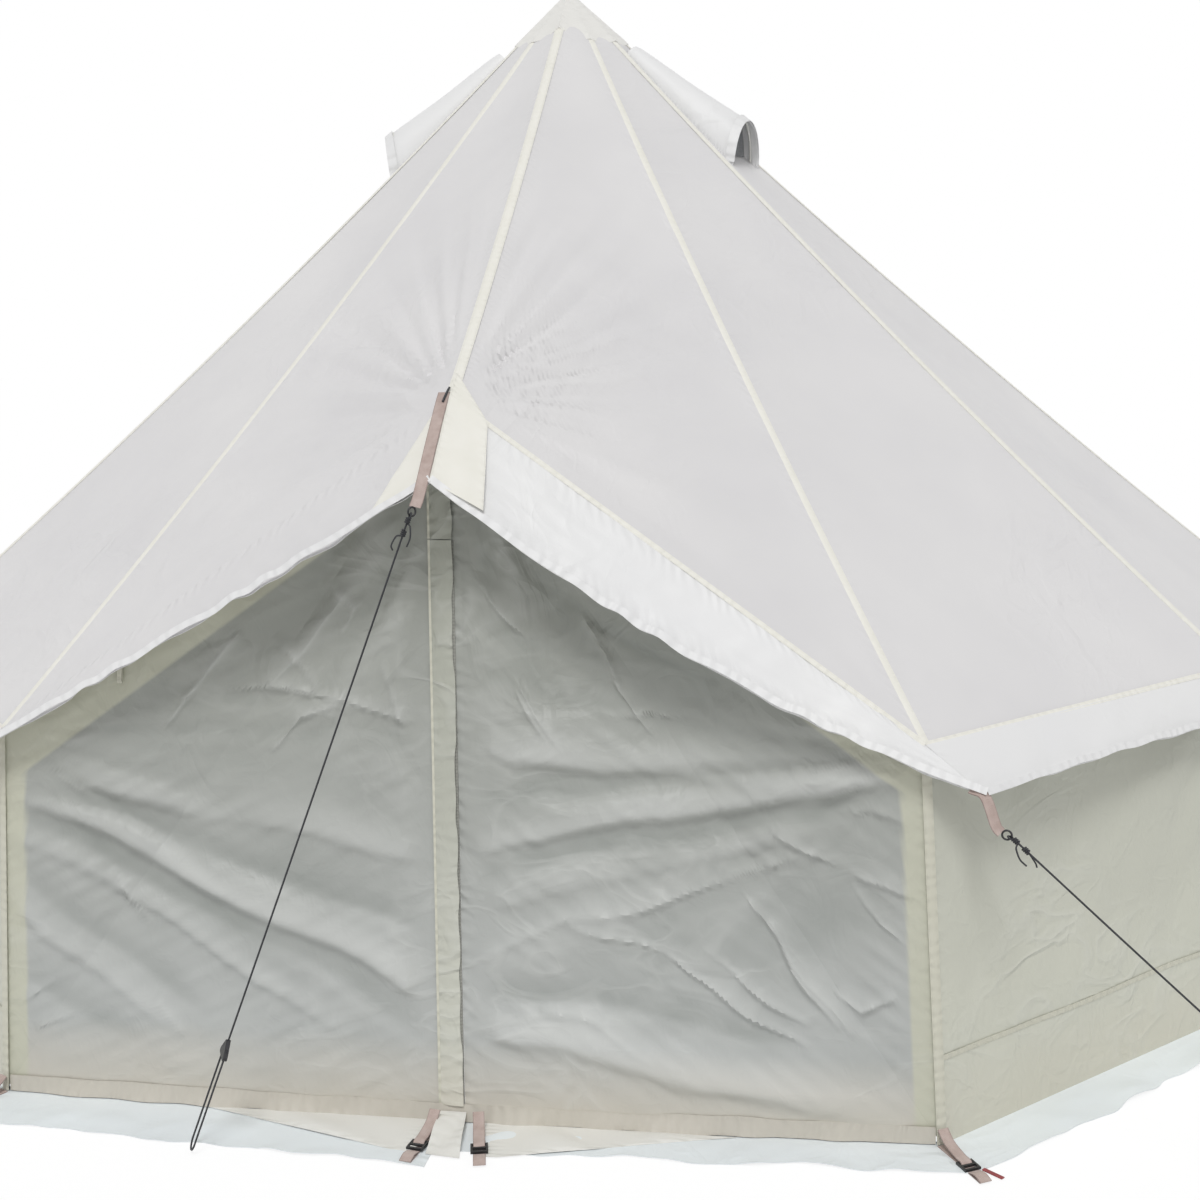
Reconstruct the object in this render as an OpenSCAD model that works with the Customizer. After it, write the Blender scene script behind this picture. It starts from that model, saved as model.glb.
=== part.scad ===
// Twelve-sided bell tent on a centre pole, with a two-leaf door under an A-pole, air vents and guy lines.
// Z points up, the ground is z = 0, the centre pole stands on the origin and the door faces -Y.
// Azimuths are counted from the door, towards +X.

/* [Tent] */
// Radius of the floor plan, measured to the corners
base_r = 2000; // [1700:10:2600]
// Height of the roof's peak above the ground
peak_h = 2500; // [2350:10:2800]
// Height of the eave seam, where the roof meets the walls
wall_h = 800; // [650:10:950]
// How far the walls lean in between the ground and the eave
wall_lean = 74; // [40:2:120]
// Thickness of the tent cloth
cloth_t = 1.5; // [1:0.1:2.5]

/* [Door] */
// Height of the door's point, where the ridge seam ends
door_h = 1470; // [1400:5:1560]
// How far the door's point stands in front of the centre pole
door_reach = 1477; // [1420:5:1520]
// How far the door's foot stands in front of the line between its corners
door_bulge = 20; // [5:1:40]
// How far the door leaves' top corners lie below the door's point
head_drop = 230; // [200:5:300]
// How far the zip's foot lies to the right of the middle
zip_shift = 36; // [20:1:50]
// Height of the upright strip under the door leaves
sill_h = 28; // [24:1:60]
// Width of the storm flap over the zip
storm_w = 48; // [30:1:70]
// Forward reach of the canopy at the door's point
canopy_reach = 185; // [120:5:240]
// Drop of the canopy at the door's point
canopy_drop = 155; // [100:5:200]

/* [Trim] */
// How far the eave valance hangs below the eave
valance_drop = 105; // [60:5:160]
// How far the valance's hem stands out from the eave
valance_flare = 50; // [30:2:90]
// Width of the mud flap on the ground
flap_w = 120; // [60:5:160]
// Thickness of the mud flap
flap_t = 2; // [1:0.5:4]
// Half the width of a seam tape
tape_w = 11; // [6:1:20]
// Thickness of a seam tape
tape_t = 0.8; // [0.5:0.1:1.5]
// Height of the stitched band on the side walls
band_h = 176; // [120:2:300]
// Radius of the roof cap, measured to its corners
cap_r = 165; // [140:5:220]

/* [Vents] */
// Radius of a vent's arched mouth
vent_r = 92; // [70:2:110]
// Distance down the roof from the peak to a vent's mouth
vent_slope = 690; // [600:10:800]
// Thickness of the rod that holds a vent open
hoop_d = 6; // [4:1:8]

/* [Poles] */
// Outer diameter of the centre pole
pole_d = 32; // [25:1:40]
// Wall thickness of the poles
pole_wall = 1.6; // [1:0.2:3]
// Length of the centre pole's lower tube
pole_low = 1180; // [900:10:1400]
// Outer diameter of the A-pole
apole_d = 22; // [18:1:28]
// Diameter of a pole's foot
foot_d = 70; // [50:2:100]
// Height of a pole's foot
foot_h = 22; // [16:1:40]

/* [Guy lines and fittings] */
// Diameter of the guy rope
rope_d = 4; // [3:0.5:6]
// Width of the webbing
web_w = 25; // [20:1:40]
// Thickness of the webbing
web_t = 1.5; // [1:0.1:3]
// Width of a rope tensioner
tens_w = 54; // [48:1:70]
// Height of a rope tensioner
tens_h = 30; // [26:1:45]
// Thickness of a rope tensioner
tens_t = 9; // [8:0.5:14]
// Distance between the two rope legs below a tensioner
leg_gap = 36; // [32:1:40]
// Distance from the ground to the tensioner, along the rope
tens_up = 225; // [180:5:300]
// Length of a ladder-lock buckle
lock_l = 34; // [28:1:44]
// Thickness of a ladder-lock buckle
lock_t = 5; // [4:0.5:7]

/* [Hidden] */

sides = 12;
turn = 360 / sides;
gap = 0.3;
edge = 0.45;
eave_r = base_r - wall_lean;
top_r = 70;
roof_dz = cloth_t * 1.3;
seat_z = flap_t + gap;
under_roof = [0, 0, -roof_dz - 2 * gap];
inward = cloth_t / cos(turn / 2);
slope = (peak_h - wall_h) / eave_r;

// Points of the tent's frame
function unit(v) = v / norm(v);
function at(r, az, z) = [r * sin(az), -r * cos(az), z];
function lerp3(a, b, s) = a + (b - a) * s;
peak = [0, 0, peak_h];
ridge_end = [0, -door_reach, door_h];
function eave(az) = at(eave_r, az, wall_h);
function foot(az) = at(base_r, az, 0);
function roof_top(az) = lerp3(peak, eave(az), top_r / eave_r);
ridge_top = lerp3(peak, ridge_end, top_r / door_reach);
door_foot = [0, -(base_r * cos(turn) + door_bulge), 0];

// Cloth outlines run counter-clockwise as seen from outside the tent
function inset(p, g) = [for (i = [0:len(p) - 1])
    let (n = len(p), a = unit(p[(i + n - 1) % n] - p[i]), b = unit(p[(i + 1) % n] - p[i]))
    p[i] + (a + b) * g / norm(cross(a, b))];
function moved(p, d) = [for (v = p) v + d];
function mirrored(p) = [for (i = [len(p) - 1:-1:0]) [-p[i].x, p[i].y, p[i].z]];
function flat(p) = [for (v = p) [v.x, v.y]];

module slab(outer, inner) {
    n = len(outer);
    polyhedron(points = concat(outer, inner), faces = concat(
        [[for (i = [n - 1:-1:0]) i]],
        [[for (i = [0:n - 1]) n + i]],
        [for (i = [0:n - 1]) [i, (i + 1) % n, n + (i + 1) % n, n + i]]));
}

module along(p, q) {
    d = q - p;
    translate(p) rotate([0, -asin(d.z / norm(d)), atan2(d.y, d.x)]) children();
}

module rod(p, q, d) {
    along(p, q) rotate([0, 90, 0]) cylinder(h = norm(q - p), d = d, $fn = 32);
}

module strip(p, q, w, t) {
    along(p, q) translate([0, -w / 2, 0]) cube([norm(q - p), w, t]);
}

module tube(p, q, d, wall) {
    along(p, q) rotate([0, 90, 0]) difference() {
        cylinder(h = norm(q - p), d = d, $fn = 48);
        translate([0, 0, -1]) cylinder(h = norm(q - p) + 2, d = d - 2 * wall, $fn = 48);
    }
}

// Roof ------------------------------------------------------------------------------------
function gore(i) = inset([roof_top(turn * i), eave(turn * i), eave(turn * (i + 1)),
    roof_top(turn * (i + 1))], edge);
front_gore = inset([ridge_top, ridge_end, eave(turn), roof_top(turn)], edge);
function gores() = concat([for (i = [1:10]) gore(i)], [front_gore, mirrored(front_gore)]);

vent_azimuths = [2.5 * turn, 4.5 * turn, 7.5 * turn, 9.5 * turn];
mid_slope = (peak_h - wall_h) / (eave_r * cos(turn / 2));
vent_tilt = atan(mid_slope);

// The frame of a vent: X runs down the roof from the peak, Z stands off its surface
module on_roof(az) {
    translate(peak) rotate([0, 0, az - 90]) rotate([0, vent_tilt, 0]) children();
}

module vent_holes() {
    for (az = vent_azimuths)
        on_roof(az) translate([vent_slope - 2.6 * vent_r, -vent_r / 2, -vent_r / 2])
            cube([1.6 * vent_r, vent_r, vent_r]);
}

module roof_panel(i) {
    color("ghostwhite") difference() {
        slab(gore(i), moved(gore(i), [0, 0, -roof_dz]));
        vent_holes();
    }
}

module roof_front_right() {
    color("ghostwhite") slab(front_gore, moved(front_gore, [0, 0, -roof_dz]));
}

module roof_front_left() {
    color("ghostwhite") slab(mirrored(front_gore), moved(mirrored(front_gore), [0, 0, -roof_dz]));
}

// A tape runs along both long edges of every roof panel
function side_tapes(g, w) = [
    [g[0], g[1], g[1] + unit(g[2] - g[1]) * w, g[0] + unit(g[3] - g[0]) * w],
    [g[3] + unit(g[0] - g[3]) * w, g[2] + unit(g[1] - g[2]) * w, g[2], g[3]]];

module roof_seam_tapes() {
    color("cornsilk") for (g = gores())
        for (t = side_tapes(g, tape_w))
            slab(moved(t, [0, 0, 1.6 * gap + tape_t]), moved(t, [0, 0, 1.6 * gap]));
}

// The patch wraps the end of the ridge seam, above the tapes
patch_l = 150;
patch_lift = 1.6 * gap + tape_t + 1.6 * gap;
module ridge_patch() {
    right = [lerp3(ridge_end, ridge_top, patch_l / 2 / door_reach), ridge_end,
        ridge_end + unit(eave(turn) - ridge_end) * patch_l];
    color("cornsilk") for (p = [inset(right, edge), mirrored(inset(right, edge))])
        slab(moved(p, [0, 0, patch_lift + tape_t]), moved(p, [0, 0, patch_lift]));
}

// The cap is one shell that follows the roof's twelve faces
cap_lift = 4 * gap + tape_t + 0.4;
function cap_rim(k, dz) = (k == 0)
    ? lerp3(peak, ridge_end, cap_r / door_reach) + [0, 0, dz]
    : lerp3(peak, eave(turn * k), cap_r / eave_r) + [0, 0, dz];
module roof_cap() {
    top = cap_lift + roof_dz;
    points = concat([peak + [0, 0, top]], [for (k = [0:sides - 1]) cap_rim(k, top)],
        [peak + [0, 0, cap_lift]], [for (k = [0:sides - 1]) cap_rim(k, cap_lift)]);
    inner = sides + 1;
    color("floralwhite") polyhedron(points = points, faces = concat(
        [for (k = [0:sides - 1]) [0, 1 + (k + 1) % sides, 1 + k]],
        [for (k = [0:sides - 1]) [inner, inner + 1 + k, inner + 1 + (k + 1) % sides]],
        [for (k = [0:sides - 1]) [1 + k, 1 + (k + 1) % sides,
            inner + 1 + (k + 1) % sides, inner + 1 + k]]));
}

// Walls -----------------------------------------------------------------------------------
wall_top = wall_h - roof_dz - 2 * gap;
function wall_r(z) = base_r - wall_lean * z / wall_h;
function wall_quad(i, low, high, out) = [
    at(wall_r(high) + out, turn * i, high), at(wall_r(low) + out, turn * i, low),
    at(wall_r(low) + out, turn * (i + 1), low), at(wall_r(high) + out, turn * (i + 1), high)];

module wall_panel(i) {
    color("honeydew") slab(inset(wall_quad(i, seat_z, wall_top, 0), edge),
        inset(wall_quad(i, seat_z, wall_top, -inward), edge));
}

module wall_trim() {
    lift = 2 * gap;
    under_hem = wall_top - 6;
    color("beige") for (i = [1:10]) {
        outer = inset(wall_quad(i, seat_z, under_hem, lift + tape_t), edge);
        inner = inset(wall_quad(i, seat_z, under_hem, lift), edge);
        for (k = [0, 1])
            slab(side_tapes(outer, tape_w)[k], side_tapes(inner, tape_w)[k]);
        slab(inset(wall_quad(i, band_h - tape_w / 2, band_h + tape_w / 2, lift + tape_t), tape_w / 2.2),
            inset(wall_quad(i, band_h - tape_w / 2, band_h + tape_w / 2, lift), tape_w / 2.2));
    }
}

valance_r = eave_r + 0.7 * cloth_t + 2 * gap;
function hem(az) = at(eave_r + valance_flare, az, wall_h - valance_drop);
module eave_valance() {
    color("white") for (i = [1:10]) {
        outer = [at(valance_r, turn * i, wall_h), hem(turn * i), hem(turn * (i + 1)),
            at(valance_r, turn * (i + 1), wall_h)];
        inner = [at(valance_r - inward, turn * i, wall_h), at(eave_r + valance_flare - inward, turn * i,
            wall_h - valance_drop), at(eave_r + valance_flare - inward, turn * (i + 1),
            wall_h - valance_drop), at(valance_r - inward, turn * (i + 1), wall_h)];
        slab(inset(outer, edge), inset(inner, edge));
    }
}

canopy_tip = ridge_end + [0, -canopy_reach, -canopy_drop];
module door_canopy() {
    ahead = [0, -2 * gap, 0];
    upper = inset(moved([ridge_end, hem(turn), eave(turn)], ahead), edge);
    lower = inset(moved([ridge_end, canopy_tip, hem(turn)], ahead), edge);
    color("white") for (p = [upper, lower, mirrored(upper), mirrored(lower)])
        slab(p, moved(p, [0, 0, -roof_dz]));
}

under_wall = 12;
module mud_flap() {
    front = [door_foot + [0, under_wall, 0], door_foot - [0, flap_w, 0],
        at(base_r + flap_w, turn, 0), at(base_r - under_wall, turn, 0)];
    rings = [for (i = [1:10]) [at(base_r - under_wall, turn * i, 0), at(base_r + flap_w, turn * i, 0),
        at(base_r + flap_w, turn * (i + 1), 0), at(base_r - under_wall, turn * (i + 1), 0)]];
    color("azure") for (p = concat(rings, [front, mirrored(front)]))
        linear_extrude(flap_t) polygon(flat(inset(p, edge)));
}

// Door ------------------------------------------------------------------------------------
sill_t = 3;
module door_sill() {
    end = lerp3(foot(turn), door_foot, 0.03);
    right = [door_foot + [0, sill_t, 0], door_foot, end, end + [0, sill_t, 0]];
    color("wheat") translate([0, 0, seat_z]) for (p = [right, mirrored(right)])
        linear_extrude(sill_h - seat_z) polygon(flat(inset(p, edge / 2)));
}

hem_reach = 136;
hem_w = 560;
hem_end = 36;
module door_hems() {
    right = [[zip_shift + hem_end, door_foot.y - 2, 0], [zip_shift + hem_end + 30, door_foot.y - hem_reach, 0],
        [zip_shift + hem_end + 60, door_foot.y - hem_reach, 0],
        [zip_shift + hem_w, door_foot.y - 2, 0]];
    left = moved(mirrored(right), [2 * zip_shift - 6, 0, 0]);
    color("wheat") translate([0, 0, seat_z]) for (p = [right, left])
        linear_extrude(cloth_t) polygon(flat(p));
}

behind = [0, cloth_t, 0];
zip_foot = door_foot + [zip_shift, 0, 0];
function on_split(drop) = lerp3(ridge_end, zip_foot, drop / door_h);
leaf_top = on_split(head_drop);
leaf_clear = sill_h + 4;
function down_to(a, b, z) = lerp3(a, b, (a.z - z) / (a.z - b.z));
corner_right = foot(turn) + [0, 0, seat_z];
corner_left = foot(-turn) + [0, 0, seat_z];

module door_gable_right() {
    p = inset([ridge_end + under_roof, corner_right, eave(turn) + under_roof], 2 * edge);
    color("palegoldenrod") slab(p, moved(p, behind));
}

module door_gable_left() {
    p = inset([ridge_end + under_roof, eave(-turn) + under_roof, corner_left], 2 * edge);
    color("palegoldenrod") slab(p, moved(p, behind));
}

module door_head() {
    top = ridge_end + under_roof;
    right = inset([top, leaf_top, corner_right], edge);
    left = inset([top, corner_left, leaf_top], edge);
    color("lightgray") for (p = [right, left])
        slab(p, moved(p, behind));
}

leaf_right_outline = inset([leaf_top, down_to(leaf_top, zip_foot, leaf_clear),
    down_to(leaf_top, corner_right, leaf_clear)], edge);
leaf_left_outline = inset([leaf_top, down_to(leaf_top, corner_left, leaf_clear),
    down_to(leaf_top, zip_foot, leaf_clear)], edge);

module door_leaf_right() {
    color("darkseagreen") slab(leaf_right_outline, moved(leaf_right_outline, behind));
}

module door_leaf_left() {
    color("darkseagreen") slab(leaf_left_outline, moved(leaf_left_outline, behind));
}

// The storm flap and the zip's coil are sewn along the left leaf's edge, in front of it
coil_w = 6;
coil_t = 1.6;
coil_drop = 60;
function split_band(x0, x1, y, drop) = [
    on_split(head_drop + drop) + [x0, y, 0],
    down_to(leaf_top, zip_foot, leaf_clear + 3) + [x0, y, 0],
    down_to(leaf_top, zip_foot, leaf_clear + 3) + [x1, y, 0],
    on_split(head_drop + drop) + [x1, y, 0]];
coil_x = -coil_w - edge;
module zip_coil() {
    p = split_band(coil_x, -edge, -gap - coil_t, coil_drop);
    color("dimgray") slab(p, moved(p, [0, coil_t, 0]));
}

module storm_flap() {
    p = split_band(-storm_w, coil_x - 2 * gap, -gap - cloth_t, coil_drop);
    color("palegoldenrod") slab(p, moved(p, [0, cloth_t, 0]));
}

// The slider sits on the coil near its foot, and the pull hangs from its bridge
slider_l = 14;
slider_w = 6;
slider_t = 5;
slider_up = 40;
pull_pin_d = 2;
slider_foot = down_to(leaf_top, zip_foot, leaf_clear + slider_up);
split_dir = unit(leaf_top - zip_foot);
pull_side = 2;
slider_mid = slider_foot - [edge + slider_w / 2 + pull_side + gap, gap + coil_t + gap, 0];
module slider_frame() {
    translate(slider_mid) rotate([-(90 - acos(split_dir.y)), 0, 0])
        rotate([0, atan2(split_dir.x, split_dir.z), 0]) children();
}

module zip_slider() {
    color("silver") slider_frame() difference() {
        translate([-slider_w / 2, -slider_t, 0]) cube([slider_w, slider_t, slider_l]);
        translate([-slider_w, -slider_t / 2 - 0.5, slider_l / 2 + 1])
            rotate([0, 90, 0]) cylinder(h = 2 * slider_w, d = pull_pin_d + 0.6, $fn = 32);
        translate([-1.4, -slider_t - 1, slider_l / 2 - 2]) cube([2.8, slider_t - 0.8, 6]);
    }
}

pull_l = 42;
module zip_pull() {
    color("silver") slider_frame() translate([0, -slider_t / 2 - 0.5, slider_l / 2 + 1]) {
        rotate([0, 90, 0]) translate([0, 0, -slider_w / 2 - pull_side])
            cylinder(h = slider_w + 2 * pull_side, d = pull_pin_d, $fn = 32);
        for (x = [-slider_w / 2 - pull_side, slider_w / 2 + gap])
            translate([x, -1, -slider_l]) cube([pull_side - gap, 2, slider_l + 1]);
        translate([-slider_w / 2 - pull_side, -1, -pull_l])
            cube([slider_w + 2 * pull_side, 2, pull_l - slider_l + 0.1]);
    }
}

// Tie loops hang in front of the gables, and toggle tapes behind them
tie_h = 950;
tie_l = 58;
tape_l = 185;
toggle_d = 9;
toggle_l = 34;
function on_gable(x, z) = let (a = down_to(ridge_end, eave(turn), z), b = down_to(ridge_end, foot(turn), z))
    lerp3(a, b, (a.x - abs(x)) / (a.x - b.x)) + [x < 0 ? -2 * abs(x) : 0, 0, 0];
tie_x = 706;
tie_w = 12;
tie_lean = 1;
module door_ties() {
    color("khaki") for (s = [-1, 1]) {
        off = [0, tie_lean + gap, 0];
        along(on_gable(s * tie_x, tie_h) - off, on_gable(s * tie_x, tie_h - tie_l) - off)
            translate([0, -tie_w / 2, 0]) difference() {
                cube([tie_l, tie_w, 5]);
                translate([4, -1, 1.5]) cube([tie_l - 8, tie_w + 2, 2]);
            }
        low = on_gable(s * (tie_x - 40), tie_h - 80) + behind + off;
        translate(low - [tie_w / 2, 0, tape_l]) cube([tie_w, 1.2, tape_l]);
        translate([low.x - toggle_l / 2, low.y + 1 + toggle_d / 2, low.z - tape_l + 6])
            rotate([0, 90, 0]) cylinder(h = toggle_l, d = toggle_d, $fn = 32);
    }
}

// Poles -----------------------------------------------------------------------------------
spigot_l = 140;
spigot_gap = 0.3;
tip_r = 60;
tip_h = 90;
mid_top = peak_h + cap_lift - 2 * gap;
tip_base = mid_top - mid_slope * tip_r - 30;
module pole_foot() {
    color("dimgray") difference() {
        cylinder(h = foot_h, d = foot_d, $fn = 64);
        translate([0, 0, foot_h / 2]) cylinder(h = foot_h, d = pole_d + 2 * spigot_gap, $fn = 64);
    }
}

module pole_lower() {
    color("gainsboro") tube([0, 0, foot_h / 2 + gap / 3], [0, 0, pole_low], pole_d, pole_wall);
}

spigot_d = pole_d - 2 * pole_wall - 2 * spigot_gap;
module pole_upper() {
    color("gainsboro") {
        tube([0, 0, pole_low], [0, 0, tip_base - gap / 3], pole_d, pole_wall);
        translate([0, 0, pole_low - spigot_l]) difference() {
            cylinder(h = 2 * spigot_l, d = spigot_d, $fn = 48);
            translate([0, 0, -1]) cylinder(h = 2 * spigot_l + 2, d = spigot_d - 2 * pole_wall, $fn = 48);
        }
        translate([0, 0, pole_low + gap]) difference() {
            cylinder(h = 20, d = pole_d - pole_wall, $fn = 48);
            translate([0, 0, -1]) cylinder(h = 22, d = spigot_d - pole_wall, $fn = 48);
        }
    }
}

// The tip's cone lies just under the roof cloth
module pole_tip() {
    color("dimgray") union() {
        translate([0, 0, tip_base]) cylinder(h = 30, r = tip_r, $fn = 64);
        translate([0, 0, tip_base + 30]) cylinder(h = mid_slope * (tip_r - 8), r1 = tip_r, r2 = 8, $fn = 64);
        translate([0, 0, tip_base - 60]) cylinder(h = 60, d = spigot_d, $fn = 48);
    }
}

// The A-pole's legs stand inside the door's corners and lean in to the bend under the ridge
apole_out = 10;
apole_in = 92;
apole_foot_h = 14;
bend_w = 90;
bend_low = 150;
function leg_top(s) = [s * bend_w, -door_reach + 60, door_h - bend_low];
function leg_low(s) = let (low = [s * (foot(turn).x + apole_out), foot(turn).y + apole_in, apole_foot_h + gap],
    d = leg_top(s) - low) low + [0, 0, apole_d / 2 * norm([d.x, d.y]) / norm(d)];
module apole_side(s) {
    color("gainsboro") {
        tube(leg_top(s), leg_low(s), apole_d, pole_wall);
        translate([leg_low(s).x, leg_low(s).y, 0]) cylinder(h = apole_foot_h, d = 2 * apole_d, $fn = 48);
    }
}

// The bend is a solid rod in three straight runs, with its ends inside the legs
bend_d = apole_d - 2 * pole_wall - 2 * spigot_gap;
module apole_bend() {
    n = cross(ridge_end - peak, eave(turn) - peak);
    side = [18, -door_reach + 42];
    under = roof_dz + (bend_d / 2 + 1 + gap) * norm(n) / n.z;
    crown = [side.x, side.y, peak_h - (n.x * side.x + n.y * side.y) / n.z - under];
    color("gainsboro") union() {
        for (s = [-1, 1]) {
            up = unit(leg_top(s) - leg_low(s));
            knee = leg_top(s) + up * 30;
            rod(leg_top(s) - up * 55, knee, bend_d);
            translate(knee) sphere(d = bend_d + 2, $fn = 32);
            rod(knee, [s * crown.x, crown.y, crown.z], bend_d);
            translate([s * crown.x, crown.y, crown.z]) sphere(d = bend_d + 2, $fn = 32);
        }
        rod([-crown.x, crown.y, crown.z], crown, bend_d);
    }
}

// Vents -----------------------------------------------------------------------------------
arch_parts = 5;
hood_start = 0.36;
function arch(r, k, x, lift) = [x, -r * k * cos(180 * lift / arch_parts), r * k * sin(180 * lift / arch_parts)];
vent_lift = 0.4;
module vent_hoods() {
    color("white") for (az = vent_azimuths)
        on_roof(az) translate([0, 0, vent_lift]) for (j = [0:arch_parts - 1]) {
            far = vent_slope * hood_start;
            outer = [arch(vent_r, hood_start, far, j), arch(vent_r, 1, vent_slope, j),
                arch(vent_r, 1, vent_slope, j + 1), arch(vent_r, hood_start, far, j + 1)];
            thin = vent_r - inward;
            inner = [arch(thin, hood_start, far, j), arch(thin, 1, vent_slope, j),
                arch(thin, 1, vent_slope, j + 1), arch(thin, hood_start, far, j + 1)];
            slab(inset(outer, gap / 2), inset(inner, gap / 2));
        }
}

hoop_r = (vent_r * 0.984 - inward) * cos(90 / arch_parts) - hoop_d / 2 - gap;
module vent_hoops() {
    color("whitesmoke") for (az = vent_azimuths)
        on_roof(az) translate([vent_slope - hoop_d, 0, vent_lift]) rotate([0, -90, 0]) rotate([0, 0, -90])
            rotate_extrude(angle = 180, $fn = 64) translate([hoop_r, 0]) circle(d = hoop_d, $fn = 24);
}

mesh_back = 30;
module vent_meshes() {
    mesh_r = hoop_r * (1 - 2 * mesh_back / vent_slope) - hoop_d;
    color("dimgray") for (az = vent_azimuths)
        on_roof(az) translate([vent_slope - mesh_back, 0, vent_lift]) rotate([0, -90, 0])
            intersection() {
                cylinder(h = cloth_t, r = mesh_r, $fn = 64);
                translate([0, -vent_r, -1]) cube([vent_r, 2 * vent_r, vent_r]);
            }
}

// Guy lines -------------------------------------------------------------------------------
ring_d = 22;
ring_wire = 4;
front_web = canopy_tip + [-24, -32, -44];
front_peg = [-487, -1937, 0];
right_web = hem(turn) + [116, -22, -46];
right_peg = [1880, -2000, 0];
tab_l = 50;
patch_top = patch_lift + tape_t + gap;

function tab_end(az) = hem(az) + at(tab_l * 0.5, az, 0) - [0, 0, tab_l * 0.86];
module guy_webbing() {
    start = ridge_end + [-web_w / 2 - 1, -2, patch_top];
    lip = canopy_tip + [-web_w / 2 - 1, -1, gap];
    color("rosybrown") {
        strip(start, lip, web_w, web_t);
        strip(lip + [0, -0.6, -1.2], front_web, web_w, web_t);
        strip(hem(turn) + [4, -3, 1.5], right_web, web_w, web_t);
        for (k = [2:11])
            strip(hem(turn * k) + at(3 * gap, turn * k, 0), tab_end(turn * k), web_w, web_t);
    }
}

module ring_at(p, dir) {
    along(p, p + dir) translate([ring_d / 2 + gap, 0, web_t / 2])
        rotate([90, 0, 0]) rotate_extrude($fn = 48) translate([ring_d / 2 - ring_wire / 2, 0])
            circle(d = ring_wire, $fn = 24);
}

module guy_rings() {
    color("black") {
        ring_at(front_web, unit(front_web - canopy_tip));
        ring_at(right_web, unit(right_web - hem(turn)));
        for (k = [2:11])
            ring_at(tab_end(turn * k), unit(tab_end(turn * k) - hem(turn * k)));
    }
}

// The rope hangs from its ring, runs straight to the tensioner and goes on as two legs
function ring_end(web, from) = web + unit(web - from) * (ring_d + gap);
function tens_mid(peg, dir) = peg - dir * tens_up;
function side_of(dir) = unit([dir.y, -dir.x, 0]);
knot_d = 12;
module guy_rope(web, from, peg) {
    dir = unit(peg - ring_end(web, from));
    first = ring_end(web, from) + dir * (2 * gap + knot_d / 2);
    mid = tens_mid(peg, dir);
    color("black") {
        rod(first, mid - dir * 3, rope_d);
        for (s = [0, 26])
            translate(first + dir * s) sphere(d = knot_d, $fn = 24);
        for (s = [-1, 1]) {
            side = side_of(dir) * s * leg_gap / 2;
            difference() {
                rod(mid + side + dir * 3, peg + side + dir * 10, rope_d);
                translate([peg.x - 200, peg.y - 200, -100]) cube([400, 400, 100 + gap / 3]);
            }
        }
    }
}

module guy_rope_front() {
    guy_rope(front_web, canopy_tip, front_peg);
}

module guy_rope_right() {
    guy_rope(right_web, hem(turn), right_peg);
}

tens_r = 6;
module tensioner(web, from, peg) {
    dir = unit(peg - ring_end(web, from));
    mid = tens_mid(peg, dir);
    bore = rope_d + 2 * gap;
    color("black") along(mid, mid - dir) difference() {
        translate([0, 0, -tens_t / 2]) linear_extrude(tens_t) hull() {
            for (y = [-tens_w / 2 + tens_r, tens_w / 2 - tens_r])
                translate([-tens_h / 3, y]) circle(r = tens_r, $fn = 32);
            translate([tens_h * 2 / 3 - tens_r, 0]) circle(r = tens_r, $fn = 32);
        }
        rotate([0, 90, 0]) translate([0, 0, -tens_h]) cylinder(h = 2 * tens_h, d = bore, $fn = 32);
        for (s = [-1, 1])
            translate([-tens_h, s * leg_gap / 2, 0]) rotate([0, 90, 0])
                cylinder(h = 2 * tens_h, d = bore, $fn = 32);
    }
}

module tensioner_front() {
    tensioner(front_web, canopy_tip, front_peg);
}

module tensioner_right() {
    tensioner(right_web, hem(turn), right_peg);
}

// Peg straps ------------------------------------------------------------------------------
strap_l = 150;
strap_in = 4;
lock_at = 74;
door_strap_gap = 46;
door_strap_z = seat_z + cloth_t + gap;
// Each place holds a strap's inner end, its direction and its height
function strap_places() = concat(
    [for (k = [1:11]) [at(base_r + strap_in, turn * k, seat_z), turn * k]],
    [[[zip_shift - door_strap_gap - 10, door_foot.y - 26, door_strap_z], -8],
        [[zip_shift + door_strap_gap - 10, door_foot.y - 26, door_strap_z], 14]]);
module at_strap(place) {
    translate(place[0]) rotate([0, 0, place[1] - 90]) children();
}

module peg_straps() {
    color("rosybrown") for (place = strap_places())
        at_strap(place) {
            translate([0, -web_w / 2, 0]) cube([strap_l, web_w, web_t]);
            translate([lock_at + lock_l + 4, -web_w / 2, web_t]) cube([strap_l - lock_at - lock_l - 4, web_w, web_t]);
        }
}

lock_side = 5;
bar = 5;
module ladder_locks() {
    color("black") for (place = strap_places())
        at_strap(place) translate([lock_at, -web_w / 2 - lock_side, web_t + gap]) difference() {
            cube([lock_l, web_w + 2 * lock_side, lock_t]);
            for (x = [bar, lock_l / 2 + bar / 2])
                translate([x, lock_side - 1, -1]) cube([lock_l / 2 - 1.5 * bar, web_w + 2, lock_t + 2]);
        }
}

module buckle_pull() {
    color("crimson") at_strap(strap_places()[0])
        translate([lock_at + lock_l + 2, web_w / 2 + lock_side + gap, 0]) rotate([0, 0, 20])
            cube([46, 9, 2]);
}

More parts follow.
